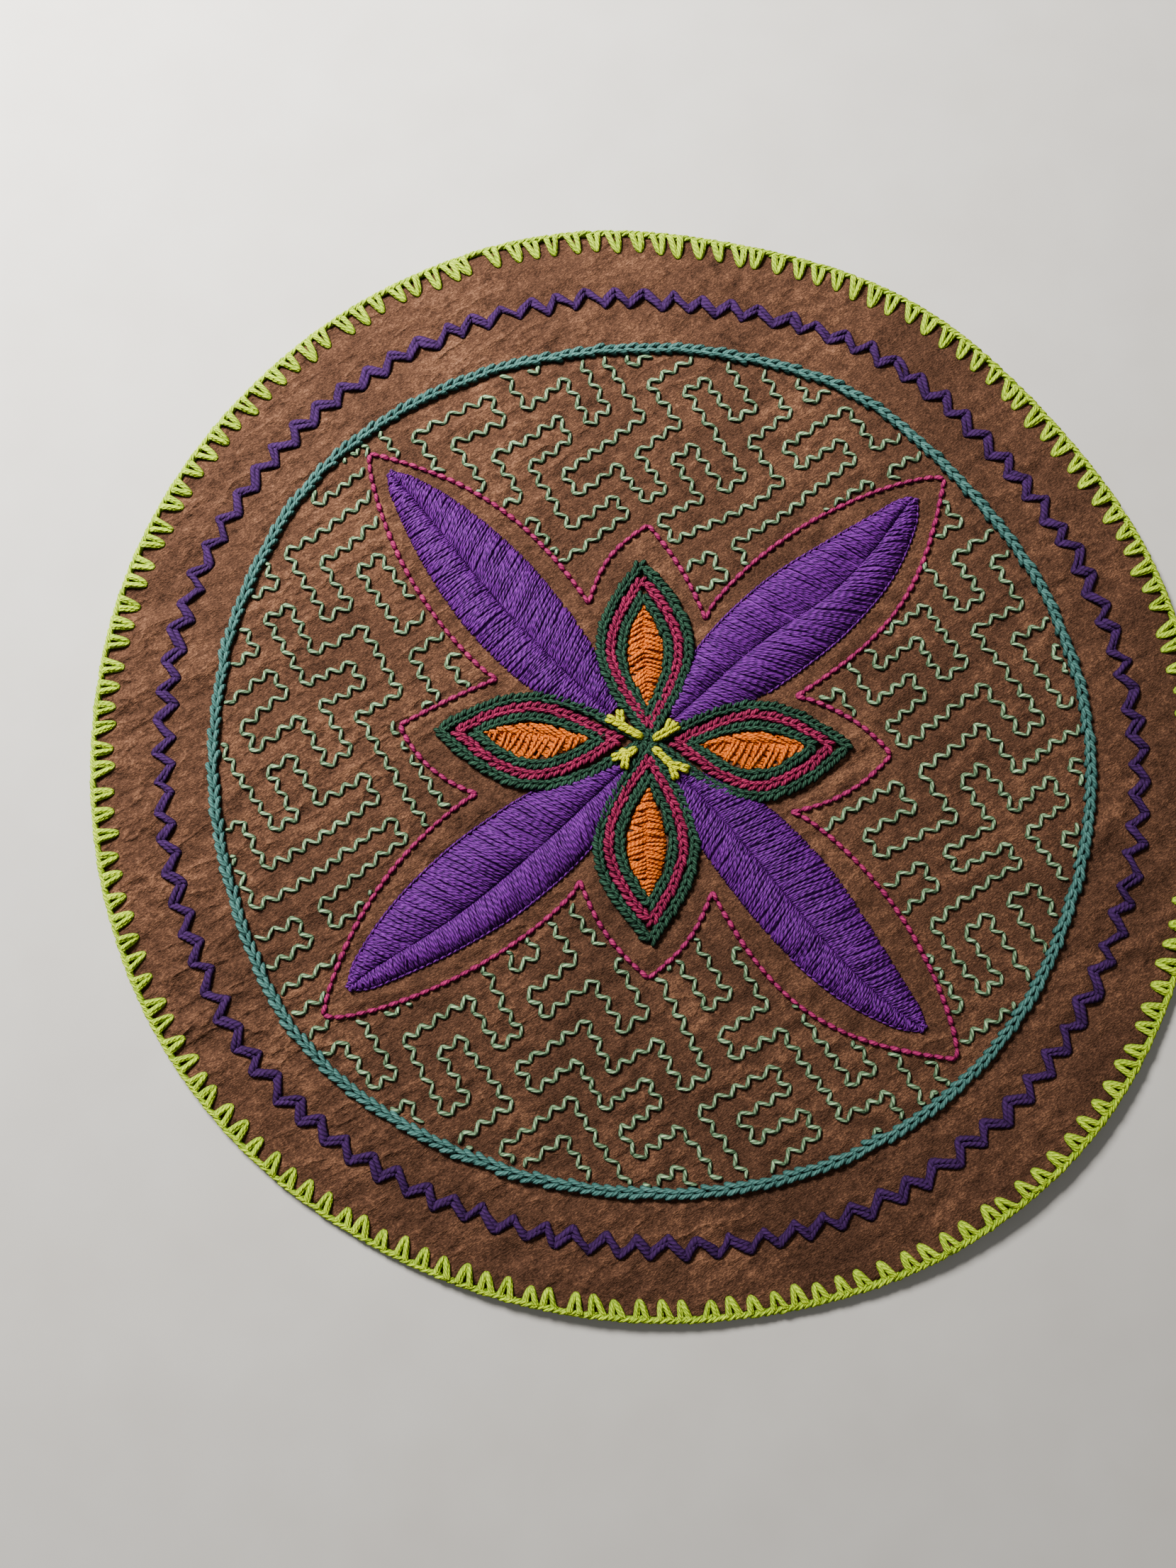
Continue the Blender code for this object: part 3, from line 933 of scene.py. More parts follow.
@dataclass(frozen=True)
class YarnFinish:
    """Twisted yarn: its dye, its plies and its soft sheen.

    The plies' painted highlight and shade, the fibres and the difference between stitches are shares of the way from
    the dark to the light colour; the flanks get painted shade on top.
    """

    name: str
    light: Rgb
    dark: Rgb
    plies: int = 5
    twist: float = 0.1
    # The weight in the colour of the plies' painted highlight and shade
    painted_ply_shading: float = 0.5
    fibre: float = 0.28
    uneven: float = 0.22
    # The share of the colour left on the yarn's flanks under their painted shade
    side: float = 0.24
    roughness: float = 0.82
    sheen: float = 0.08
    sheen_roughness: float = 0.4
    gloss: float = 0.12
    power: float = 1.5
    bump: float = 0.9
    depth: float = 0.0002

    def material(self) -> bpy.types.Material:
        """Makes the yarn's material once.

        Returns:
            The material.
        """
        found = bpy.data.materials.get(self.name)
        if found:
            return found
        bench = Bench(self.name)
        uv = bench.node("ShaderNodeSeparateXYZ", {0: bench.node("ShaderNodeTexCoord").outputs["UV"]})
        along, around = uv.outputs["X"], uv.outputs["Y"]
        tint = bench.node("ShaderNodeAttribute", attribute_name="tint").outputs["Fac"]
        # Fibres are streaks that lie almost along the yarn, others in each stitch
        place = {
            "X": bench.sum("MULTIPLY", along, 0.9),
            "Y": bench.total((around, 9.0), (along, 1.1)),
            "Z": bench.sum("MULTIPLY", tint, 37.0),
        }
        fibres = bench.noise(bench.node("ShaderNodeCombineXYZ", place).outputs[0], 1.0, 3.0, 0.6)
        fibres = bench.between(fibres, 0.3, 0.7)
        # Plies are stripes that wind round it: painted highlight on each ply's crown and painted shade in the grooves
        # between plies
        turns = bench.sum("ADD", around, bench.sum("MULTIPLY", along, self.twist))
        turns = bench.total((turns, 2.0 * math.pi * self.plies), (fibres, 1.2))
        plies = bench.between(bench.sum("COSINE", turns), -1.0, 0.5)
        level = bench.total((plies, self.painted_ply_shading), (fibres, self.fibre), (tint, self.uneven))
        # Painted shade: the colour darkens on the yarn's flanks, where its surface faces sideways rather than up
        flank_shade_normal = bench.node("ShaderNodeSeparateXYZ", {0: bench.node("ShaderNodeNewGeometry").outputs["Normal"]})
        level = bench.sum("MULTIPLY", level, bench.between(flank_shade_normal.outputs["Z"], 0.2, 0.95, self.side, 1.0))
        shade = bench.sum("POWER", bench.sum("MINIMUM", level, 1.0), self.power)
        return bench.finish(
            Base_Color=bench.blend(shade, (*self.dark, 1.0), (*self.light, 1.0)),
            Normal=bench.bump(bench.total((plies, 0.7), (fibres, 0.3)), self.bump, self.depth),
            Roughness=self.roughness,
            Sheen_Weight=self.sheen,
            Sheen_Roughness=self.sheen_roughness,
            Sheen_Tint=(*self.light, 1.0),
            Specular_IOR_Level=self.gloss,
        )


@dataclass(frozen=True)
class Grain:
    """One noise of the cloth, drawn out along the wrinkles, and its relief."""

    size: float
    squeeze: float
    detail: float
    rough: float
    strength: float
    depth: float

    def pattern(self, bench: Bench, turned: bpy.types.NodeSocket) -> bpy.types.NodeSocket:
        """Lays the noise out.

        Args:
            bench: of the material.
            turned: the place on the cloth, turned to the wrinkles' heading.

        Returns:
            The noise.
        """
        place = bench.node("ShaderNodeMapping", {"Vector": turned, "Scale": (self.squeeze, 1.0, 1.0)})
        return bench.noise(place.outputs[0], 1.0 / (self.size * MM), self.detail, self.rough)


@dataclass(frozen=True)
class ClothFinish:
    """Hand-dyed cotton: mottled brown, with a fine weave and soft slanting wrinkles that grow calmer to the right."""

    name: str = "brown_cotton"
    deep: Rgb = linear(37, 22, 14)
    middle: Rgb = linear(84, 56, 41)
    pale: Rgb = linear(144, 100, 73)
    heading: float = 33.0
    thread: Grain = Grain(0.4, 0.55, 2.0, 0.6, 0.9, 0.00014)
    crinkle: Grain = Grain(3.0, 0.5, 1.5, 0.5, 0.75, 0.0008)
    fold: Grain = Grain(8.0, 0.42, 2.0, 0.5, 0.5, 0.0008)
    fold_edge: float = 0.07
    calm_from: float = -110.0
    calm_to: float = 60.0
    roughness: float = 0.95
    gloss: float = 0.1

    def material(self) -> bpy.types.Material:
        """Makes the cloth's material.

        Returns:
            The material.
        """
        bench = Bench(self.name)
        place = bench.node("ShaderNodeTexCoord").outputs["Object"]
        turn = (0.0, 0.0, -math.radians(self.heading))
        turned = bench.node("ShaderNodeMapping", {"Vector": place, "Rotation": turn}).outputs[0]
        # Wrinkles come in patches: short crinkles, and folds along the lines where a slower noise changes sides
        patches = bench.between(bench.noise(place, 30.0), 0.35, 0.6, 0.3, 1.0)
        threads = bench.between(self.thread.pattern(bench, turned), 0.32, 0.68)
        crinkles = bench.between(self.crinkle.pattern(bench, turned), 0.3, 0.7)
        crinkles = bench.sum("MULTIPLY", crinkles, patches)
        ridge = bench.sum("ABSOLUTE", bench.sum("SUBTRACT", self.fold.pattern(bench, turned), 0.5))
        folds = bench.sum("MULTIPLY", bench.between(ridge, 0.0, self.fold_edge, 1.0, 0.0), patches)
        # The colour: darker between the threads and mottled, with painted shade in the wrinkles' hollows and painted
        # highlight on their crests and along the folds
        mottle = bench.between(bench.noise(place, 480.0, 4.0, 0.65), 0.32, 0.68)
        cloud = bench.between(bench.noise(place, 26.0, 3.0, 0.55), 0.35, 0.65)
        tone = bench.total((threads, 0.38), (mottle, 0.22), (cloud, 0.1), (folds, 0.05), (crinkles, 0.22))
        dark = bench.blend(bench.between(tone, 0.1, 0.5), (*self.deep, 1.0), (*self.middle, 1.0))
        # The relief: the weave, and on it the wrinkles, whose strength falls from left to right
        across = bench.node("ShaderNodeSeparateXYZ", {0: place}).outputs["X"]
        calm = bench.between(across, self.calm_from * MM, self.calm_to * MM, 1.1, 0.5)
        relief = bench.bump(threads, self.thread.strength, self.thread.depth)
        for height, grain in ((crinkles, self.crinkle), (folds, self.fold)):
            relief = bench.bump(height, bench.sum("MULTIPLY", calm, grain.strength), grain.depth, relief)
        return bench.finish(
            Base_Color=bench.blend(bench.between(tone, 0.5, 0.9), dark, (*self.pale, 1.0)),
            Normal=relief,
            Roughness=self.roughness,
            Specular_IOR_Level=self.gloss,
        )


# Each yarn's light and dark colour bound its plies' painted highlight and shade, the painted shade on its flanks, its
# fibres and the real differences between stitches
LIME = YarnFinish("lime_cotton", linear(228, 255, 40), linear(104, 138, 24), plies=3, twist=0.12)
INDIGO = YarnFinish("indigo_cotton", linear(66, 34, 88), linear(36, 15, 50), plies=3, twist=0.16, fibre=0.4)
TEAL = YarnFinish("teal_cotton", linear(90, 138, 131), linear(42, 78, 74), plies=4)
SAGE = YarnFinish("sage_cotton", linear(190, 228, 174), linear(50, 74, 52), plies=3, power=1.8)
MAGENTA = YarnFinish("magenta_cotton", linear(196, 46, 110), linear(104, 22, 66), plies=3, twist=0.22)
CERISE = YarnFinish("cerise_cotton", linear(184, 38, 92), linear(50, 10, 28), plies=4, twist=0.16)
VIOLET = YarnFinish(
    "violet_cotton", linear(119, 35, 152), linear(30, 3, 49), plies=2, twist=0.2, painted_ply_shading=0.62, fibre=0.26, uneven=0.18,
    # The violet's flanks keep more of their colour, under lighter painted shade
    side=0.6, roughness=0.6, sheen=0.1,
)
GREEN = YarnFinish("green_cotton", linear(56, 96, 74), linear(6, 20, 14), plies=4, twist=0.16)
ORANGE = YarnFinish("orange_cotton", linear(255, 126, 10), linear(108, 31, 0), plies=2, twist=0.34, painted_ply_shading=0.6, power=1.0)
YELLOW = YarnFinish("yellow_cotton", linear(242, 244, 0), linear(114, 120, 0), plies=4, twist=0.14, power=1.0)


def fit(obj: bpy.types.Object, slot: str, *nodes: str) -> bpy.types.Object:
    """Sets a piece on the body, in place of the solids that it stands for.

    Args:
        obj: the piece.
        slot: the record's material slot; not used.
        nodes: the solids.

    Returns:
        The piece.
    """
    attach(obj, BODY)
    if nodes:
        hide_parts(*nodes)
    triangles = sum(len(face.vertices) - 2 for face in obj.data.polygons)
    log.info("%s: %d triangles", obj.name, triangles)
    return obj


@dataclass
class Cloth:
    """The disc of dyed cotton."""

    ground: Ground
    divisions: int = 200
    edge: float = 1.5
    clearance: float = 0.02

    def build(self) -> bpy.types.Object:
        """Models the disc from a grid that is drawn out to the cloth's outline.

        Returns:
            The piece.
        """
        obj = add_primitive(
            bpy.ops.mesh.primitive_grid_add, x_subdivisions=self.divisions, y_subdivisions=self.divisions, size=2.0
        )
        obj.name = obj.data.name = "cloth_dyed"
        a, b, _ = read_places(obj.data).T
        wide = np.abs(a) > np.abs(b)
        reach = np.where(wide, a, b)
        ratio = np.divide(np.where(wide, b, a), reach, out=np.zeros_like(a), where=np.abs(reach) > 1e-9)
        angle = np.where(wide, 45.0 * ratio, 90.0 - 45.0 * ratio) + np.where(reach < 0.0, 180.0, 0.0)
        places = polar(np.abs(reach) * (outline(Line.EDGING, angle) - self.edge), angle)
        upper = self.ground.seat(places)
        self.write(obj, upper)
        thicken(obj, self.ground.thickness * MM)
        lower = np.column_stack([places, self.ground.lift(places[:, 0], places[:, 1]) + self.clearance])
        self.write(obj, np.concatenate([upper, lower]))
        obj.data.shade_smooth()
        obj.data.materials.append(ClothFinish().material())
        return fit(obj, "brown_cloth", "cloth")

    @staticmethod
    def write(obj: bpy.types.Object, points: np.ndarray) -> None:
        """Puts an object's vertices at these points."""
        obj.data.vertices.foreach_set("co", (points * MM).astype(np.float32).ravel())
        obj.data.update()


@dataclass
class Edging:
    """The whipped rim and its tufts, in lime yarn."""

    ground: Ground
    kit: StitchKit
    tufts: int = 158
    reach: float = 7.7
    reach_swing: float = 0.6
    longest_at: float = 95.0
    reach_spread: float = 0.6
    half_base: float = 2.05
    yarn: float = 1.22
    yarn_height: float = 0.95
    lean: float = 9.0
    doubled_at: float = 111.3
    root_inside: float = 1.3
    tip_short: float = 2.0
    core_inside: float = 1.25
    core_half: Point = (0.75, 0.98)
    core_height: float = 1.0
    slant: float = 2.3
    whipping_foot: float = 1.4
    whipping_yarn: Point = (1.25, 1.15)
    pull: float = 1.3
    plan_seed: int = 7
    seed: int = 71

    def plan(self) -> None:
        """Settles where each tuft stands."""
        rng = np.random.default_rng(self.plan_seed)
        self.step = 360.0 / self.tufts
        self.middle = self.step * (np.arange(self.tufts) + rng.uniform(-0.1, 0.1, self.tufts))
        pair = np.sort(np.argsort(np.abs(self.middle - self.doubled_at))[:2])
        self.middle[pair] = self.doubled_at + np.array([-0.3, 0.3]) * self.step
        radius = outline(Line.EDGING, self.middle)
        inward = -polar(np.ones(self.tufts), self.middle)
        lean = np.radians(self.lean + rng.normal(0.0, 5.0, self.tufts))
        self.toward = inward * np.cos(lean)[:, None] + left_of(inward) * np.sin(lean)[:, None]
        self.along = -left_of(inward)
        depth = self.reach + self.reach_swing * np.cos(np.radians(self.middle - self.longest_at))
        depth = depth + rng.uniform(-1.0, 1.0, self.tufts) * self.reach_spread
        self.root = polar(radius - self.root_inside, self.middle)
        self.tip = self.root + self.toward * (depth - self.tip_short)[:, None]
        self.width = self.half_base * rng.uniform(0.82, 1.12, self.tufts)
        for share in np.linspace(0.2, 1.0, 6):
            self.ground.press(self.root + (self.tip - self.root) * share, self.pull)

    def build(self) -> bpy.types.Object:
        """Models the core, the whipping and the tufts in one piece.

        Returns:
            The piece.
        """
        batch = Batch(self.seed)
        self.add_core(batch)
        self.add_whipping(batch)
        self.add_tufts(batch)
        return fit(batch.build("edging_yarn", LIME), "lime_yarn", "edging")

    def add_core(self, batch: Batch) -> None:
        """Adds a smooth roll of yarn that the whipping goes round.

        Args:
            batch: of the edging's yarn.
        """
        small = 0.2
        obj = add_primitive(
            bpy.ops.mesh.primitive_torus_add,
            major_segments=2 * self.tufts, minor_segments=8, major_radius=1.0, minor_radius=small,
        )
        x, y, z = read_places(obj.data).T
        degrees = np.degrees(np.arctan2(y, x))
        out = (np.hypot(x, y) - 1.0) / small
        uv = StitchKit.wrap(degrees / 360.0 % 1.0, np.arctan2(z, out) / (2.0 * math.pi) % 1.0, obj.data, True)
        uv[:, 0] *= 1000.0
        template = StitchKit.finish(obj, uv)
        wide, high = self.core_half
        flat = polar(outline(Line.EDGING, degrees) - self.core_inside + wide * out, degrees)
        middle = polar(outline(Line.EDGING, degrees) - self.root_inside, degrees)
        height = self.ground.lift(middle[:, 0], middle[:, 1]) + self.core_height + high * z / small
        batch.add(template, np.column_stack([flat, height])[None], 1.0, 0.0)

    def add_whipping(self, batch: Batch) -> None:
        """Adds slanting stitches round the rim, three for each tuft.

        Args:
            batch: of the edging's yarn.
        """
        count = 3 * self.tufts
        rng = np.random.default_rng(self.seed + 1)
        middle = (np.arange(count) + rng.uniform(-0.2, 0.2, count)) * self.step / 3.0
        radius = outline(Line.EDGING, middle)
        half = np.degrees(self.slant / radius) * rng.uniform(0.85, 1.2, count)
        foot = polar(radius - self.whipping_foot, middle)
        ground = self.ground.lift(foot[:, 0], foot[:, 1])
        rows = []
        for share, depth, height in WHIPPING:
            flat = polar(radius - depth + rng.normal(0.0, 0.1, count), middle + share * half)
            rows.append(np.column_stack([flat, ground + height + rng.normal(0.0, 0.06, count)]))
        wide, high = self.whipping_yarn
        batch.bend(self.kit.arm, np.stack(rows, axis=1), wide * rng.uniform(0.88, 1.1, count), high)

    def add_tufts(self, batch: Batch) -> None:
        """Adds two legs for each tuft, each of three strands, that meet where they go into the cloth.

        Args:
            batch: of the edging's yarn.
        """
        rng = np.random.default_rng(self.seed + 2)
        for side in (-1.0, 1.0):
            for spread, close, short, rise in TUFT_STRANDS:
                start = self.root + self.along * (side * self.width * spread)[:, None]
                end = self.tip + self.along * (side * close) - self.toward * short
                bow = -side * 0.3 * spread * rng.uniform(-0.2, 1.2, self.tufts)
                controls = bridge(self.ground, start, end, rise * rng.uniform(0.85, 1.15, self.tufts), 0.02, bow)
                controls[:, 0, 2] += self.yarn_height
                widths = self.yarn * rng.uniform(0.9, 1.12, self.tufts)
                batch.bend(self.kit.long, controls, widths, self.yarn_height)


@dataclass
class ZigzagLine:
    """Two strands of indigo yarn that run up and down side by side."""

    ground: Ground
    kit: StitchKit
    points: int = 100
    swing: float = 2.2
    apart: float = 0.62
    yarn: float = 2.15
    yarn_height: float = 1.6
    past_corner: float = 0.45
    pull: float = 0.55
    seed: int = 21

    def plan(self) -> None:
        """Settles the corners."""
        rng = np.random.default_rng(self.seed)
        count = 2 * self.points
        degrees = 180.0 * (np.arange(count) + rng.uniform(-0.19, 0.19, count)) / self.points
        sign = np.where(np.arange(count) % 2 == 0, 1.0, -1.0)
        radius = outline(Line.ZIGZAG, degrees) + sign * self.swing * rng.uniform(0.78, 1.14, count)
        shift = rng.uniform(0.8, 1.15, count)
        self.lines = [polar(radius + side * self.apart * shift, degrees) for side in (-1.0, 1.0)]
        for line in self.lines:
            self.ground.press(walk(close_round(line), MARK), self.pull)

    def build(self) -> bpy.types.Object:
        """Lays a stitch from each corner to the next.

        Returns:
            The piece.
        """
        batch = Batch(self.seed + 1)
        rng = batch.rng
        for line in self.lines:
            following = np.roll(line, -1, axis=0)
            past = unit(following - line) * self.past_corner
            start, end = line - past, following + past
            rise = rng.uniform(0.6, 0.95, len(line))
            sway = rng.normal(0.0, 0.25, len(line))
            controls = bridge(self.ground, start, end, rise, 0.05, rng.normal(0.0, 0.3, len(line)), sway)
            batch.bend(self.kit.long, controls, self.yarn * rng.uniform(0.82, 1.12, len(line)), self.yarn_height)
        return fit(batch.build("zigzag_yarn", INDIGO), "indigo_yarn", "zigzag_line")


@dataclass
class ChainLine:
    """A closed round of chain stitch."""

    ground: Ground
    kit: StitchKit
    name: str
    node: str
    slot: str
    finish: YarnFinish
    path: np.ndarray
    pitch: float
    width: float
    yarn: float
    overlap: float = 1.28
    pull: float = 0.8
    seed: int = 31
    arm: Arm = LINK_ARM

    def plan(self) -> None:
        """Marks the links off along the path."""
        self.marks = walk(close_round(self.path), self.pitch)[:-1]
        self.ground.press(walk(close_round(self.path), MARK), self.pull)

    def build(self) -> bpy.types.Object:
        """Lays a link from each mark to past the next.

        Returns:
            The piece.
        """
        batch = Batch(self.seed)
        along = (np.roll(self.marks, -1, axis=0) - self.marks) * self.overlap
        turn = batch.rng.normal(0.0, 0.06, len(along))[:, None]
        shifted = self.marks + batch.rng.normal(0.0, 0.07, self.marks.shape)
        way = along + left_of(along) * turn
        batch.link(self.kit, self.ground, shifted, way, self.width, self.yarn, arm=self.arm)
        return fit(batch.build(self.name, self.finish), self.slot, self.node)


def ring_path() -> np.ndarray:
    """The chain ring's line round the disc, the way it is sewn."""
    degrees = np.arange(360.0, 0.0, -1.0)
    return polar(outline(Line.RING, degrees), degrees)


def star_sides() -> list[np.ndarray]:
    """Draws the star line's sides.

    Returns:
        One run of points from corner to corner each.
    """
    sides = []
    share = np.linspace(0.0, 1.0, 41)
    for (x, y, bow, fullness), following in zip(STAR, np.roll(STAR, -1, axis=0)):
        way = following[:2] - (x, y)
        out = -left_of(unit(way)) * (bow * np.sin(np.pi * share) ** fullness)[:, None]
        sides.append((x, y) + way * share[:, None] + out)
    return sides


@dataclass
class StarLine:
    """One closed round of back stitch."""

    ground: Ground
    kit: StitchKit
    stitch: float = 3.1
    yarn: float = 1.6
    yarn_height: float = 1.3
    gap: float = 0.02
    pull: float = 0.9
    seed: int = 41

    def plan(self) -> None:
        """Marks the stitches off on each side of the star."""
        runs = [walk(side, self.stitch) for side in star_sides()]
        self.starts = np.concatenate([run[:-1] for run in runs])
        self.ends = np.concatenate([run[1:] for run in runs])
        for run in runs:
            self.ground.press(walk(run, MARK), self.pull)

    def build(self) -> bpy.types.Object:
        """Lays the stitches end to end.

        Returns:
            The piece.
        """
        batch = Batch(self.seed)
        rng = batch.rng
        way = self.ends - self.starts
        count = len(way)
        slip = left_of(unit(way)) * rng.uniform(0.02, 0.22, count)[:, None]
        start, end = self.starts + self.gap * way + slip, self.ends - self.gap * way - slip
        controls = bridge(self.ground, start, end, rng.uniform(0.6, 0.85, count), 0.3)
        batch.bend(self.kit.grain, controls, self.yarn * rng.uniform(0.85, 1.12, count), self.yarn_height)
        return fit(batch.build("star_yarn", MAGENTA), "magenta_yarn", "star_line")


@dataclass
class SteppedLines:
    """The thin stepped lines that fill the ground between the star line and the chain ring.

    The stitches lie on the edges of a slanting grid, level and upright by turns, so a line climbs in steps. A tree of
    thick branches grows over the stitches' middles, along the grid's diagonals. The line is the branches' outline: it
    keeps an even distance from itself and turns back round the branches' ends. The branches' thickness is an odd
    number of stitches, which is what lets every turn keep the steps going.
    """

    ground: Ground
    kit: StitchKit
    cell: float = 3.62
    level: float = -13.0
    upright: float = 79.0
    thickness: int = 3
    forward: float = 0.66
    turning: float = 0.8
    shortest_run: int = 5
    shortest_stitch: float = 1.2
    extent: float = 150.0
    seed: int = 17
    yarn: float = 1.32
    yarn_height: float = 1.15
    pull: float = 0.85
    lay_seed: int = 52
    star_margin: float = 1.15
    ring_margin: float = 1.9

    def branches(self) -> set[tuple[int, int]]:
        """Grows the tree.

        Returns:
            The diagonal cells that its branches fill.
        """
        rng = np.random.default_rng(self.seed)
        pitch = 2 * self.thickness
        reach = int(self.extent / (self.cell * self.thickness)) + 1
        seen = {(0, 0)}
        open_ends = [(0, 0)]
        came = {(0, 0): (0, 0)}
        filled: set[tuple[int, int]] = set()
        while open_ends:
            last = len(open_ends) - 1
            pick = last if rng.random() < self.forward else int(rng.integers(0, last + 1))
            a, b = open_ends[pick]
            steps = [(1, 0), (-1, 0), (0, 1), (0, -1)]
            rng.shuffle(steps)
            if rng.random() < self.turning:
                steps.sort(key=lambda step, last_step=came[(a, b)]: step == last_step)
            for da, db in steps:
                ahead = (a + da, b + db)
                if ahead in seen or max(abs(ahead[0]), abs(ahead[1])) > reach:
                    continue
                seen.add(ahead)
                came[ahead] = (da, db)
                open_ends.append(ahead)
                for step in range(pitch + 1):
                    p, q = pitch * a + 1 + da * step, pitch * b + db * step
                    filled |= {(p + i, q + j) for i in range(self.thickness) for j in range(self.thickness)}
                break
            else:
                open_ends.pop(pick)
        return filled

    def place(self, cells: np.ndarray) -> np.ndarray:
        """Sets grid points on the cloth, as uneven as handwork.

        Args:
            cells: the grid points, in cells.

        Returns:
            Their places.
        """
        across, up = math.radians(self.level), math.radians(self.upright)
        x = self.cell * (cells[:, 0] * math.cos(across) + cells[:, 1] * math.cos(up))
        y = self.cell * (cells[:, 0] * math.sin(across) + cells[:, 1] * math.sin(up))
        drift = [Waves(51 + axis, 9, 34.0, 80.0, 1.5).at(x, y) for axis in (0, 1)]
        shake = [Waves(61 + axis, 14, 6.0, 13.0, 0.3).at(x, y) for axis in (0, 1)]
        return np.column_stack([x + drift[0] + shake[0], y + drift[1] + shake[1]])

    def inside(self, points: np.ndarray) -> np.ndarray:
        """Tells whether points lie on the ground that the lines fill.

        Args:
            points: the points.

        Returns:
            True for those that do.
        """
        sides = np.concatenate([side[:-1] for side in star_sides()])
        following = np.roll(sides, -1, axis=0)
        x, y = points[:, 0][:, None], points[:, 1][:, None]
        crosses = (sides[:, 1] > y) != (following[:, 1] > y)
        with np.errstate(divide="ignore", invalid="ignore"):
            slope = (following[:, 0] - sides[:, 0]) / (following[:, 1] - sides[:, 1])
            cut = sides[:, 0] + (y - sides[:, 1]) * slope
        in_star = (crosses & (x < cut)).sum(axis=1) % 2 == 1
        near = np.sqrt(((points[:, None] - sides[None]) ** 2).sum(axis=2)).min(axis=1) < self.star_margin
        degrees = np.degrees(np.arctan2(points[:, 1], points[:, 0]))
        beyond = np.hypot(points[:, 0], points[:, 1]) > outline(Line.RING, degrees) - self.ring_margin
        return ~(in_star | near | beyond)

    def runs(self, ends: np.ndarray, keep: np.ndarray) -> np.ndarray:
        """How many stitches hang together in the run that each kept stitch belongs to.

        Args:
            ends: the two grid points of each stitch, in half cells.
            keep: which stitches are kept.

        Returns:
            The length of each stitch's run, nothing for those that are not kept.
        """
        at_point: dict[tuple[int, int], list[int]] = {}
        for index in np.flatnonzero(keep):
            for point in ends[index]:
                at_point.setdefault(tuple(point), []).append(int(index))
        sizes = np.zeros(len(ends), int)
        for first in np.flatnonzero(keep):
            if sizes[first]:
                continue
            run, heads = {int(first)}, [int(first)]
            while heads:
                for point in ends[heads.pop()]:
                    fresh = set(at_point[tuple(point)]) - run
                    run |= fresh
                    heads += fresh
            sizes[list(run)] = len(run)
        return sizes

    def plan(self) -> None:
        """Finds the branches' outline and cuts it off at the lines round it."""
        filled = self.branches()
        middles = set()
        for p, q in filled:
            for beside, corners in (
                ((p - 1, q), ((p, q), (p, q + 1))),
                ((p + 1, q), ((p + 1, q), (p + 1, q + 1))),
                ((p, q - 1), ((p, q), (p + 1, q))),
                ((p, q + 1), ((p, q + 1), (p + 1, q + 1))),
            ):
                if beside not in filled:
                    middles.update(corners)
        table = np.array(sorted(middles))
        centre = np.column_stack([table[:, 0] + table[:, 1], table[:, 0] - table[:, 1]])
        half = np.where(table.sum(axis=1, keepdims=True) % 2 == 0, [[1, 0]], [[0, 1]])
        ends = np.stack([centre - half, centre + half], axis=1)
        start, end = self.place(ends[:, 0] / 2.0), self.place(ends[:, 1] / 2.0)
        keep_start, keep_end = self.inside(start), self.inside(end)
        swap = ~keep_start & keep_end
        start[swap], end[swap] = end[swap].copy(), start[swap].copy()
        keep = self.runs(ends, keep_start | keep_end) >= self.shortest_run
        start, end = start[keep], end[keep]
        reach = np.ones(len(start))
        for share in np.linspace(0.95, 0.2, 12):
            out = ~self.inside(start + (end - start) * reach[:, None])
            reach[out] = share
        end = start + (end - start) * reach[:, None]
        long_enough = np.linalg.norm(end - start, axis=1) > self.shortest_stitch
        self.starts, self.ends = start[long_enough], end[long_enough]
        for share in np.linspace(0.0, 1.0, 6):
            self.ground.press(self.starts + (self.ends - self.starts) * share, self.pull)

    def build(self) -> bpy.types.Object:
        """Lays a stitch on every edge.

        Returns:
            The piece.
        """
        batch = Batch(self.lay_seed)
        rng = batch.rng
        count = len(self.starts)
        rise = rng.uniform(0.55, 0.8, count)
        controls = bridge(self.ground, self.starts, self.ends, rise, 0.1, rng.normal(0.0, 0.12, count))
        batch.bend(self.kit.bar, controls, self.yarn * rng.uniform(0.85, 1.12, count), self.yarn_height)
        return fit(batch.build("stepped_line_yarn", SAGE), "teal_yarn")


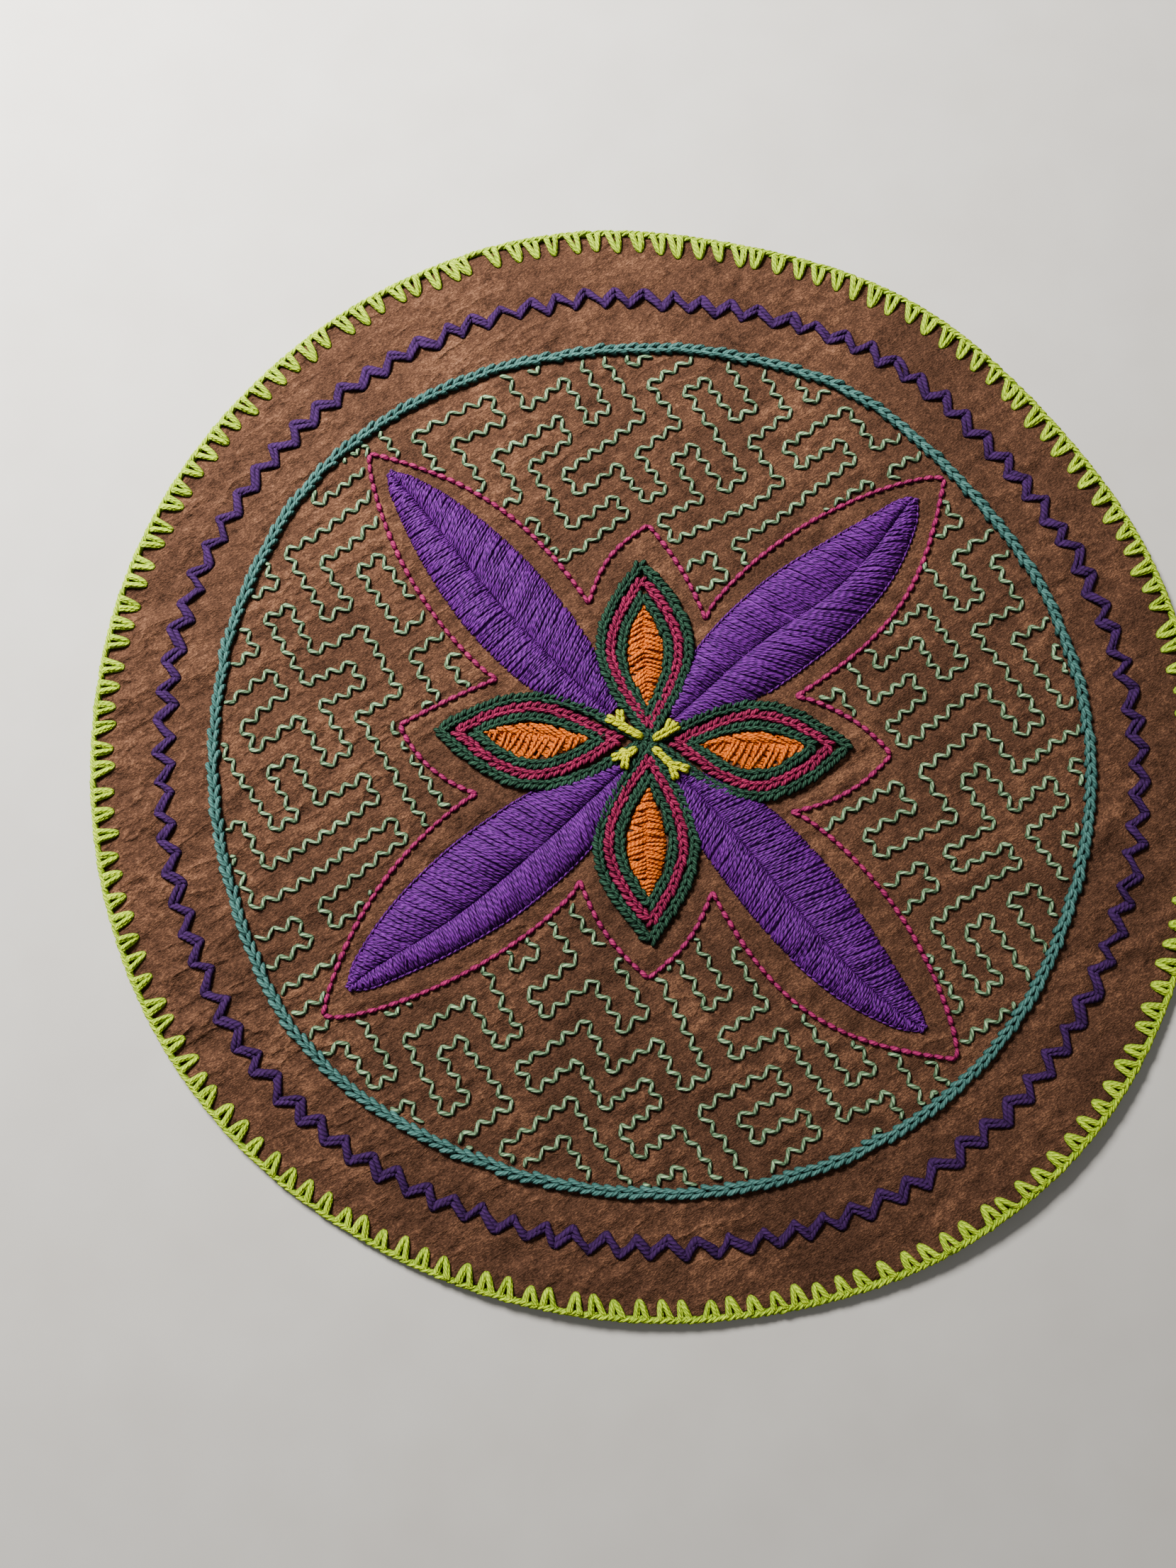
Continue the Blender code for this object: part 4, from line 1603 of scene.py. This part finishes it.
@dataclass
class Leaf:
    """A satin-stitched leaf: two crowned halves of slanting strands beside a midrib groove."""

    ground: Ground
    kit: StitchKit
    name: str
    stalk: Point
    tip: Point
    half_width: float
    bow: float
    groove: tuple[tuple[float, float], ...]
    left_heading: tuple[float, float]
    right_heading: tuple[float, float]
    outlined: tuple[tuple[Half, float, float], ...] = ()
    heel: float = 0.0
    crown: float = 1.55
    pitch: float = 0.52
    yarn: float = 0.92
    outline_stitch: float = 2.1
    outline_yarn: float = 0.85
    end_round: float = 1.6
    narrowest: float = 0.4
    padding_under: float = 0.38
    padding_thick: float = 0.35
    full_at: float = 0.7
    narrow_crown: float = 0.42
    steepness: float = 0.62
    longest_strand: float = 46.0
    trace_step: float = 0.2
    fewest_steps: int = 7
    pull: float = 0.9
    seed: int = 81

    def __post_init__(self) -> None:
        """Settles the leaf's axis."""
        self.base = polar(np.array(self.stalk[0]), np.array(self.stalk[1]))
        way = polar(np.array(self.tip[0]), np.array(self.tip[1])) - self.base
        self.length = float(np.linalg.norm(way))
        self.along = way / self.length
        self.across = left_of(self.along)
        self.swell = Waves(self.seed, 12, 4.0, 13.0, 0.12)

    def width(self, share: np.ndarray) -> np.ndarray:
        """The half width, which rounds off to nothing beyond the ends.

        Args:
            share: of the length.

        Returns:
            The half width there.
        """
        held = self.half_width * smooth_curve(LEAF_SHAPE[:, 0], LEAF_SHAPE[:, 1], share)
        over = np.maximum(np.maximum(-share, share - 1.0), 0.0) * self.length
        return held * np.sqrt(np.clip(1.0 - (over / self.end_round) ** 2, 0.0, 1.0))

    def offset(self, share: np.ndarray) -> np.ndarray:
        """How far the middle bows to the left, in its outer part and in its heel."""
        share = np.clip(share, 0.0, 1.0)
        return self.bow * np.sin(np.pi * share**LEAF_LEAN) + self.heel * np.sin(np.pi * share**HEEL_LEAN)

    def midrib(self, share: np.ndarray) -> np.ndarray:
        """The groove's place across the leaf, in half widths from its middle."""
        table = np.array(self.groove)
        return smooth_curve(table[:, 0], table[:, 1], share)

    def place(self, share: np.ndarray, side: np.ndarray) -> np.ndarray:
        """The point at a share of the length and of the half width."""
        off = self.offset(share) + side * self.width(share)
        return self.base + self.along * (share * self.length)[..., None] + self.across * off[..., None]

    def locate(self, points: np.ndarray) -> tuple[np.ndarray, np.ndarray]:
        """Finds where points lie on the leaf.

        Args:
            points: the points.

        Returns:
            Their shares of the length, and of the half width.
        """
        share = (points - self.base) @ self.along / self.length
        off = (points - self.base) @ self.across - self.offset(share)
        return share, off / np.maximum(self.width(share), 1e-3)

    def height(self, points: np.ndarray) -> np.ndarray:
        """The height of the padding's face over the cloth.

        Args:
            points: places on the leaf.

        Returns:
            The height there.
        """
        share, side = self.locate(points)
        rib = self.midrib(share)
        edge = np.where(side > rib, 1.0, -1.0)
        out = np.clip((side - rib) / (edge - rib), 0.0, 1.0)
        wide = np.minimum(1.0, self.width(share) / (self.full_at * self.half_width))
        full = self.narrow_crown + (1.0 - self.narrow_crown) * wide
        crowned = self.crown * full * np.sin(np.pi * (0.05 + 0.95 * out)) ** self.steepness
        return crowned + self.swell.at(points[..., 0], points[..., 1]) * np.sin(np.pi * out)

    def plan(self) -> None:
        """Draws the cloth down round the leaf."""
        share = np.linspace(0.0, 1.0, 140)
        for side in (-1.0, 1.0):
            self.ground.press(self.place(share, np.full(len(share), side)), self.pull)

    def strands(self, half: Half, headings: tuple[float, float]) -> tuple[np.ndarray, np.ndarray]:
        """Where the strands of one half start and end.

        Args:
            half: which half.
            headings: the strands' direction at the stalk and at the tip, in degrees.

        Returns:
            Their starts and their ends.
        """
        rng = np.random.default_rng(self.seed + half.value)
        starts, ends = [], []
        # Slanting strands can start beyond either end
        share = -0.5
        reach = np.arange(0.0, self.longest_strand, self.trace_step)
        axis = math.degrees(math.atan2(self.along[1], self.along[0]))
        while share < 1.5:
            held = min(max(share, 0.0), 1.0)
            heading = headings[0] + (headings[1] - headings[0]) * held
            slant = abs(math.sin(math.radians(heading - axis)))
            share += self.pitch * rng.uniform(0.85, 1.15) / max(slant, 0.25) / self.length
            place = np.array([share])
            root = self.base + self.along * share * self.length
            inner = np.clip(place, 0.0, 1.0)
            rib = float(self.offset(place)[0] + self.midrib(inner)[0] * self.width(inner)[0])
            root = root + self.across * rib
            toward = polar(np.array(1.0), np.array(heading + rng.normal(0.0, 2.0)))
            line = root + toward * reach[:, None]
            along, side = self.locate(line)
            within = (np.abs(side) <= 1.0) & (half.value * (side - self.midrib(along)) >= -0.02)
            within &= self.width(along) > self.narrowest
            hits = np.flatnonzero(within)
            if len(hits) < self.fewest_steps:
                continue
            starts.append(line[hits[0]])
            ends.append(line[hits[-1]])
        return np.array(starts), np.array(ends)

    def curves(self, start: np.ndarray, end: np.ndarray, rng: np.random.Generator) -> np.ndarray:
        """Curves of strands that lie on the padding, none quite straight.

        Args:
            start: where they start.
            end: where they end.
            rng: of their unevenness.

        Returns:
            Four control points for each.
        """
        rows = []
        for share, sink, stray in SATIN_ROWS:
            flat = start + (end - start) * share
            flat = flat + left_of(unit(end - start)) * rng.normal(0.0, stray, (len(start), 1))
            height = self.height(flat) - sink + rng.normal(0.0, 0.05, len(start))
            rows.append(self.ground.seat(flat, height))
        p, q, r, s = rows
        return np.stack([p, (-5 * p + 18 * q - 9 * r + 2 * s) / 6, (2 * p - 9 * q + 18 * r - 5 * s) / 6, s], axis=1)

    def build(self) -> bpy.types.Object:
        """Lays the padding, the strands of both halves and the outline stitches.

        Returns:
            The piece.
        """
        batch = Batch(self.seed)
        self.add_padding(batch)
        for half, headings in ((Half.LEFT, self.left_heading), (Half.RIGHT, self.right_heading)):
            start, end = self.strands(half, headings)
            count = len(start)
            widths = self.yarn * batch.rng.uniform(0.85, 1.2, count)
            batch.bend(self.kit.satin, self.curves(start, end, batch.rng), widths, widths)
        for half, first, last in self.outlined:
            share = np.linspace(first, last, 120)
            marks = walk(self.place(share, np.full(len(share), float(half.value))), self.outline_stitch)
            controls = bridge(self.ground, marks[:-1], marks[1:], 0.45, 0.05)
            batch.bend(self.kit.short, controls, self.outline_yarn, self.outline_yarn)
        return fit(batch.build(f"{self.name}_satin", VIOLET), "violet_yarn", self.name)

    def add_padding(self, batch: Batch) -> None:
        """Adds a crowned shell just under the strands, so that no cloth shows between them.

        Args:
            batch: of the leaf's yarn.
        """
        obj = add_primitive(bpy.ops.mesh.primitive_grid_add, x_subdivisions=60, y_subdivisions=16, size=2.0)
        along, side, _ = read_places(obj.data).T
        places = self.place((along + 1.0) / 2.0, side * 0.97)
        upper = self.ground.seat(places, self.height(places) - self.padding_under)
        Cloth.write(obj, upper / MM)
        thicken(obj, self.padding_thick)
        lower = upper - np.array([0.0, 0.0, self.padding_thick])
        uv = np.zeros((len(obj.data.loops), 2))
        batch.add(StitchKit.finish(obj, uv), np.concatenate([upper, lower])[None], 1.0, 0.0)


@dataclass(frozen=True)
class Lens:
    """A petal's outline on its own axis, from base to tip, with a sideways bow."""

    angle: float
    base: float
    tip: float
    half_width: float
    bow: float

    def inset(self, distance: float) -> "Lens":
        """The outline that lies inside this one.

        Args:
            distance: how far inside.

        Returns:
            The outline.
        """
        end = math.atan(math.pi * self.half_width / (self.tip - self.base))
        slip = distance / math.sin(end)
        return Lens(self.angle, self.base + slip, self.tip - slip, self.half_width - distance, self.bow)

    def place(self, share: np.ndarray, side: np.ndarray) -> np.ndarray:
        """Finds points on the petal.

        Args:
            share: of the way out.
            side: 1 for the outline's left, 0 for its axis, -1 for its right.

        Returns:
            The points.
        """
        along = self.base + (self.tip - self.base) * share
        off = side * self.half_width * np.sin(np.pi * share**LENS_SKEW) + self.bow * np.sin(np.pi * share)
        way = polar(np.array(1.0), np.array(self.angle))
        return MEETING + way * along[..., None] + left_of(way) * off[..., None]

    def loop(self) -> np.ndarray:
        """The whole outline, out on the left and back on the right."""
        share = np.linspace(0.0, 1.0, 61)
        return np.concatenate([self.place(share[:-1], np.full(60, 1.0)), self.place(share[:0:-1], np.full(60, -1.0))])


@dataclass(frozen=True)
class Strands:
    """The filling strands on one side of a petal: their lean off its axis, in degrees, and their spacing."""

    lean: float
    pitch: float


@dataclass(frozen=True)
class Filling:
    """How a petal is filled: where the filling lies on the axis, and how its strands run on the left and right."""

    base: float
    tip: float
    half_width: float
    left: Strands
    right: Strands
    rib: float = 0.0


# A petal's rounds from the outside in: name, yarn, the record's slot, and each link's pitch, width and yarn
BANDS = (
    ("outer", GREEN, "green_yarn", 2.1, 3.65, 1.7),
    ("middle", CERISE, "magenta_yarn", 2.3, 3.7, 1.75),
    ("inner", GREEN, "green_yarn", 2.1, 3.6, 1.7),
)


@dataclass
class Petal:
    """Three rounds of chain stitch, one in the other, round an open fishbone filling."""

    ground: Ground
    kit: StitchKit
    name: str
    lens: Lens
    bases: tuple[float, float, float]
    filling: Filling
    seed: int
    fill_yarn: Point = (1.2, 1.05)
    under_yarn: Point = (1.08, 0.9)
    under_pitch: float = 0.62
    fill_past: float = 0.9
    fill_over: float = 0.15
    overrun: float = 7.0
    traced: tuple[float, float, float] = (-4.0, 15.0, 0.1)
    fewest_steps: int = 10

    def plan(self) -> None:
        """Settles the three rounds."""
        self.rounds = []
        for order, (band, finish, slot, pitch, width, yarn) in enumerate(BANDS):
            path = replace(self.lens.inset(order * BAND_PITCH), base=self.bases[order]).loop()
            name, node = f"{self.name}_{band}_chain", f"{self.name}_{band}"
            line = ChainLine(self.ground, self.kit, name, node, slot, finish, path, pitch, width, yarn)
            self.rounds.append(replace(line, overlap=1.5, seed=self.seed + order, arm=PETAL_ARM))
            self.rounds[-1].plan()

    def build(self) -> list[bpy.types.Object]:
        """Lays the rounds and the filling.

        Returns:
            The pieces.
        """
        pieces = [chain.build() for chain in self.rounds]
        batch = Batch(self.seed + 9)
        rng = batch.rng
        fill = self.filling
        wide, high = self.fill_yarn
        for side, strands in ((1.0, fill.left), (-1.0, fill.right)):
            start, end = self.strands(side, strands, rng)
            count = len(start)
            sway = rng.uniform(0.2, 0.55, count) * -side
            rise, bow = rng.uniform(0.75, 1.15, count), rng.normal(0.0, 0.15, count)
            controls = bridge(self.ground, start, end, rise, 0.05, bow, sway)
            batch.bend(self.kit.long, controls, wide * rng.uniform(0.85, 1.12, count), high)
        for side, strands in ((1.0, fill.right), (-1.0, fill.left)):
            start, end = self.strands(side, Strands(180.0 - strands.lean, self.under_pitch * strands.pitch), rng)
            controls = bridge(self.ground, start, end, 0.3, 0.05, rng.normal(0.0, 0.2, len(start)))
            batch.bend(self.kit.long, controls, *self.under_yarn)
        pieces.append(fit(batch.build(f"{self.name}_fishbone", ORANGE), "orange_yarn", f"{self.name}_fill"))
        return pieces

    def strands(self, side: float, strands: Strands, rng: np.random.Generator) -> tuple[np.ndarray, np.ndarray]:
        """Where the filling strands of one side start, at the rib, and end.

        Args:
            side: 1 for the left, -1 for the right.
            strands: how they run.
            rng: of their unevenness.

        Returns:
            Their starts and their ends.
        """
        fill = self.filling
        shape = replace(self.lens, base=fill.base, tip=fill.tip, half_width=fill.half_width)
        way = polar(np.array(1.0), np.array(shape.angle))
        reach = np.arange(*self.traced)
        starts, ends = [], []
        for middle in np.arange(shape.base - self.overrun, shape.tip + self.overrun, strands.pitch):
            lean = math.radians(strands.lean + rng.normal(0.0, 5.0))
            toward = way * math.cos(lean) + left_of(way) * (side * math.sin(lean))
            line = MEETING + way * (middle + rng.normal(0.0, 0.16)) + toward * reach[:, None]
            along = (line - MEETING) @ way
            share = np.clip((along - shape.base) / (shape.tip - shape.base), 0.0, 1.0)
            wide = shape.half_width * np.sin(np.pi * share**LENS_SKEW)
            off = (line - MEETING) @ left_of(way) - shape.bow * np.sin(np.pi * share)
            past = self.fill_past * rng.uniform(0.3, 1.3)
            hits = np.flatnonzero((np.abs(off) <= wide + self.fill_over) & (side * (off - fill.rib * wide) >= -past))
            if len(hits) < self.fewest_steps:
                continue
            starts.append(line[hits[0]])
            ends.append(line[hits[-1]])
        return np.array(starts), np.array(ends)


@dataclass
class CentreStitches:
    """The short yellow chains between the petals."""

    ground: Ground
    kit: StitchKit
    name: str
    rows: tuple[tuple[float, float, float, float], ...]
    seed: int
    pitch: float = 2.0
    overlap: float = 1.4
    width: float = 2.9
    yarn: float = 1.55
    lift: float = 1.35

    def build(self) -> bpy.types.Object:
        """Lays each chain from its start to its end.

        Returns:
            The piece.
        """
        batch = Batch(self.seed)
        for x, y, end_x, end_y in self.rows:
            marks = walk(MEETING + np.array([[x, y], [end_x, end_y]]), self.pitch)
            along = np.diff(marks, axis=0) * self.overlap
            batch.link(self.kit, self.ground, marks[:-1], along, self.width, self.yarn, self.lift)
        return fit(batch.build(f"{self.name}_stitches", YELLOW), "yellow_yarn", self.name)


@dataclass(frozen=True)
class Lamp:
    """A soft square light that faces a point."""

    name: str
    place: Place
    aim: Place
    size: float
    power: float
    colour: Rgb

    def build(self) -> None:
        """Sets the light up."""
        data = bpy.data.lights.new(self.name, "AREA")
        data.size, data.energy, data.color = self.size, self.power, self.colour
        lamp = bpy.data.objects.new(self.name, data)
        lamp.location = self.place
        lamp.rotation_euler = (Vector(self.aim) - lamp.location).to_track_quat("-Z", "Y").to_euler()
        bpy.context.scene.collection.objects.link(lamp)


@dataclass(frozen=True)
class Studio:
    """The floor, the lights and the camera at the photograph's angle, in metres."""

    lens: float = 27.05
    tilt: float = 8.0
    camera_place: Place = (-0.01766, -0.0572, 0.33867)
    camera_range: Point = (0.01, 20.0)
    floor_size: float = 4.0
    floor_under: float = 0.00002
    floor_dark: Rgb = (0.60, 0.57, 0.53)
    floor_light: Rgb = (0.64, 0.615, 0.575)
    room_colour: Rgb = (0.97, 0.98, 1.0)
    room_light: float = 0.13
    lamps: tuple[Lamp, ...] = (
        Lamp("key_light", (-0.35, 0.43, 0.48), (-0.33, 0.41, 0.0), 0.26, 21.5, (1.0, 0.985, 0.95)),
        Lamp("fill_light", (0.7, -0.35, 1.1), (0.0, 0.0, 0.0), 1.2, 1.2, (1.0, 0.98, 0.96)),
    )

    def build(self) -> bpy.types.Object:
        """Sets the stage.

        Returns:
            The floor.
        """
        for lamp in self.lamps:
            lamp.build()
        world = bpy.data.worlds.new("room")
        world.use_nodes = True
        background = world.node_tree.nodes["Background"]
        background.inputs["Color"].default_value = (*self.room_colour, 1.0)
        background.inputs["Strength"].default_value = self.room_light
        bpy.context.scene.world = world
        self.set_camera()
        return self.lay_floor()

    def lay_floor(self) -> bpy.types.Object:
        """Lays a plain pale floor.

        Returns:
            The floor.
        """
        place = (0.0, 0.0, -self.floor_under)
        floor = add_primitive(bpy.ops.mesh.primitive_plane_add, size=self.floor_size, location=place)
        floor.name = "floor"
        bench = Bench("pale_floor")
        spot = bench.node("ShaderNodeTexCoord").outputs["Object"]
        tone = bench.between(bench.noise(spot, 40.0, 3.0), 0.3, 0.7)
        colour = bench.blend(tone, (*self.floor_dark, 1.0), (*self.floor_light, 1.0))
        floor.data.materials.append(bench.finish(Base_Color=colour, Roughness=0.9))
        return floor

    def set_camera(self) -> None:
        """Sets the camera up where the photograph was taken from."""
        data = bpy.data.cameras.new("photo_camera")
        data.sensor_width = 36.0
        data.lens = self.lens
        data.clip_start, data.clip_end = self.camera_range
        camera = bpy.data.objects.new("photo_camera", data)
        camera.location = self.camera_place
        camera.rotation_euler = (math.radians(self.tilt), 0.0, 0.0)
        bpy.context.scene.collection.objects.link(camera)
        bpy.context.scene.camera = camera


LEAVES = (
    # name, stalk and tip at a radius and an angle, half width, bow, the groove's way from stalk to tip, the strands'
    # heading in the left and right half at the stalk and at the tip, outline stitches from one share to another, heel
    (
        "leaf_ne", (13.4, 50.4), (110.0, 43.5), 13.1, -2.7,
        ((0.0, 0.0), (0.35, 0.02), (0.6, -0.12), (0.85, 0.05), (1.0, 0.3)),
        (150.0, 152.0), (-28.0, 12.0), ((Half.LEFT, 0.1, 1.0), (Half.RIGHT, 0.25, 1.0)), -0.3,
    ),
    (
        "leaf_nw", (16.8, 135.2), (113.4, 132.4), 13.0, -0.5, ((0.0, 0.0), (0.5, 0.1), (1.0, 0.0)),
        (232.0, 205.0), (62.0, 66.0), (), 1.3,
    ),
    (
        "leaf_sw", (10.8, 218.3), (108.0, 218.6), 12.9, -1.0, ((0.0, 0.0), (0.4, 0.2), (0.8, 0.25), (1.0, 0.0)),
        (-70.0, -75.0), (150.0, 158.0), ((Half.LEFT, 0.05, 1.0), (Half.RIGHT, 0.05, 1.0)), 0.4,
    ),
    (
        "leaf_se", (11.6, 318.3), (109.6, 314.0), 12.6, -2.2, ((0.0, 0.0), (0.5, -0.15), (1.0, -0.1)),
        (24.0, 20.0), (240.0, 235.0), ((Half.RIGHT, 0.6, 1.0),), 1.3,
    ),
)
PETALS = (
    # name, outline, where its three rounds start, filling
    (
        "petal_e", Lens(-1.6, PETAL_BASE, 58.0, 13.3, -1.75), (0.9, 7.8, 11.4),
        Filling(14.0, 46.9, 5.9, Strands(152.0, 1.6), Strands(116.0, 2.1), 0.45),
    ),
    (
        "petal_n", Lens(92.0, PETAL_BASE, 53.4, 12.9, 0.0), (0.9, 4.4, 7.2),
        Filling(9.6, 41.5, 5.9, Strands(118.0, 1.2), Strands(104.0, 1.2)),
    ),
    (
        "petal_w", Lens(176.9, PETAL_BASE, 61.4, 12.9, 1.65), (0.9, 8.8, 13.4),
        Filling(17.0, 49.8, 5.5, Strands(62.0, 2.0), Strands(28.0, 1.6), -0.45),
    ),
    (
        "petal_s", Lens(269.9, PETAL_BASE, 57.2, 13.7, -0.9), (0.9, 4.6, 9.8),
        Filling(12.8, 45.6, 5.6, Strands(76.0, 1.2), Strands(66.0, 1.2)),
    ),
)
CENTRES = (
    # name, then each chain's start and end from the middle
    ("centre_ne", ((1.3, 0.6, 8.0, 4.1), (5.0, 2.6, 6.2, 5.0))),
    ("centre_nw", ((-1.9, 1.0, -7.6, 4.2), (-7.7, 4.6, -11.4, 6.4), (-8.2, 4.8, -8.4, 8.2))),
    (
        "centre_sw",
        ((-3.6, -2.2, -6.8, -4.2), (-8.2, -2.5, -6.4, -4.3), (-6.5, -4.0, -9.9, -4.8), (-6.7, -4.2, -7.1, -7.4)),
    ),
    ("centre_se", ((1.3, -2.0, 6.6, -7.3), (6.6, -6.9, 10.5, -8.2), (6.3, -7.2, 7.4, -10.5))),
)


def main() -> None:
    """Builds the tapestry and the studio, and reports each piece."""
    logging.basicConfig(level=logging.INFO, format="%(message)s")
    ground, kit = Ground(), StitchKit()
    ring = ChainLine(
        ground, kit, "ring_chain", "ring_line", "teal_yarn", TEAL, ring_path(),
        pitch=3.35, width=3.6, yarn=1.7, overlap=1.42, arm=PETAL_ARM,
    )
    leaves = [Leaf(ground, kit, *row, seed=81 + 4 * order) for order, row in enumerate(LEAVES)]
    petals = [Petal(ground, kit, *row, seed=101 + 10 * order) for order, row in enumerate(PETALS)]
    lines = [Edging(ground, kit), ZigzagLine(ground, kit), ring, StarLine(ground, kit), SteppedLines(ground, kit)]
    for part in (*lines, *leaves, *petals):
        part.plan()
    ground.settle()
    cloth = Cloth(ground).build()
    sewn = [part.build() for part in (*lines, *leaves)]
    for petal in petals:
        sewn += petal.build()
    for order, (name, rows) in enumerate(CENTRES):
        sewn.append(CentreStitches(ground, kit, name, rows, 141 + order).build())
    floor = Studio().build()


if __name__ == "__main__":
    main()
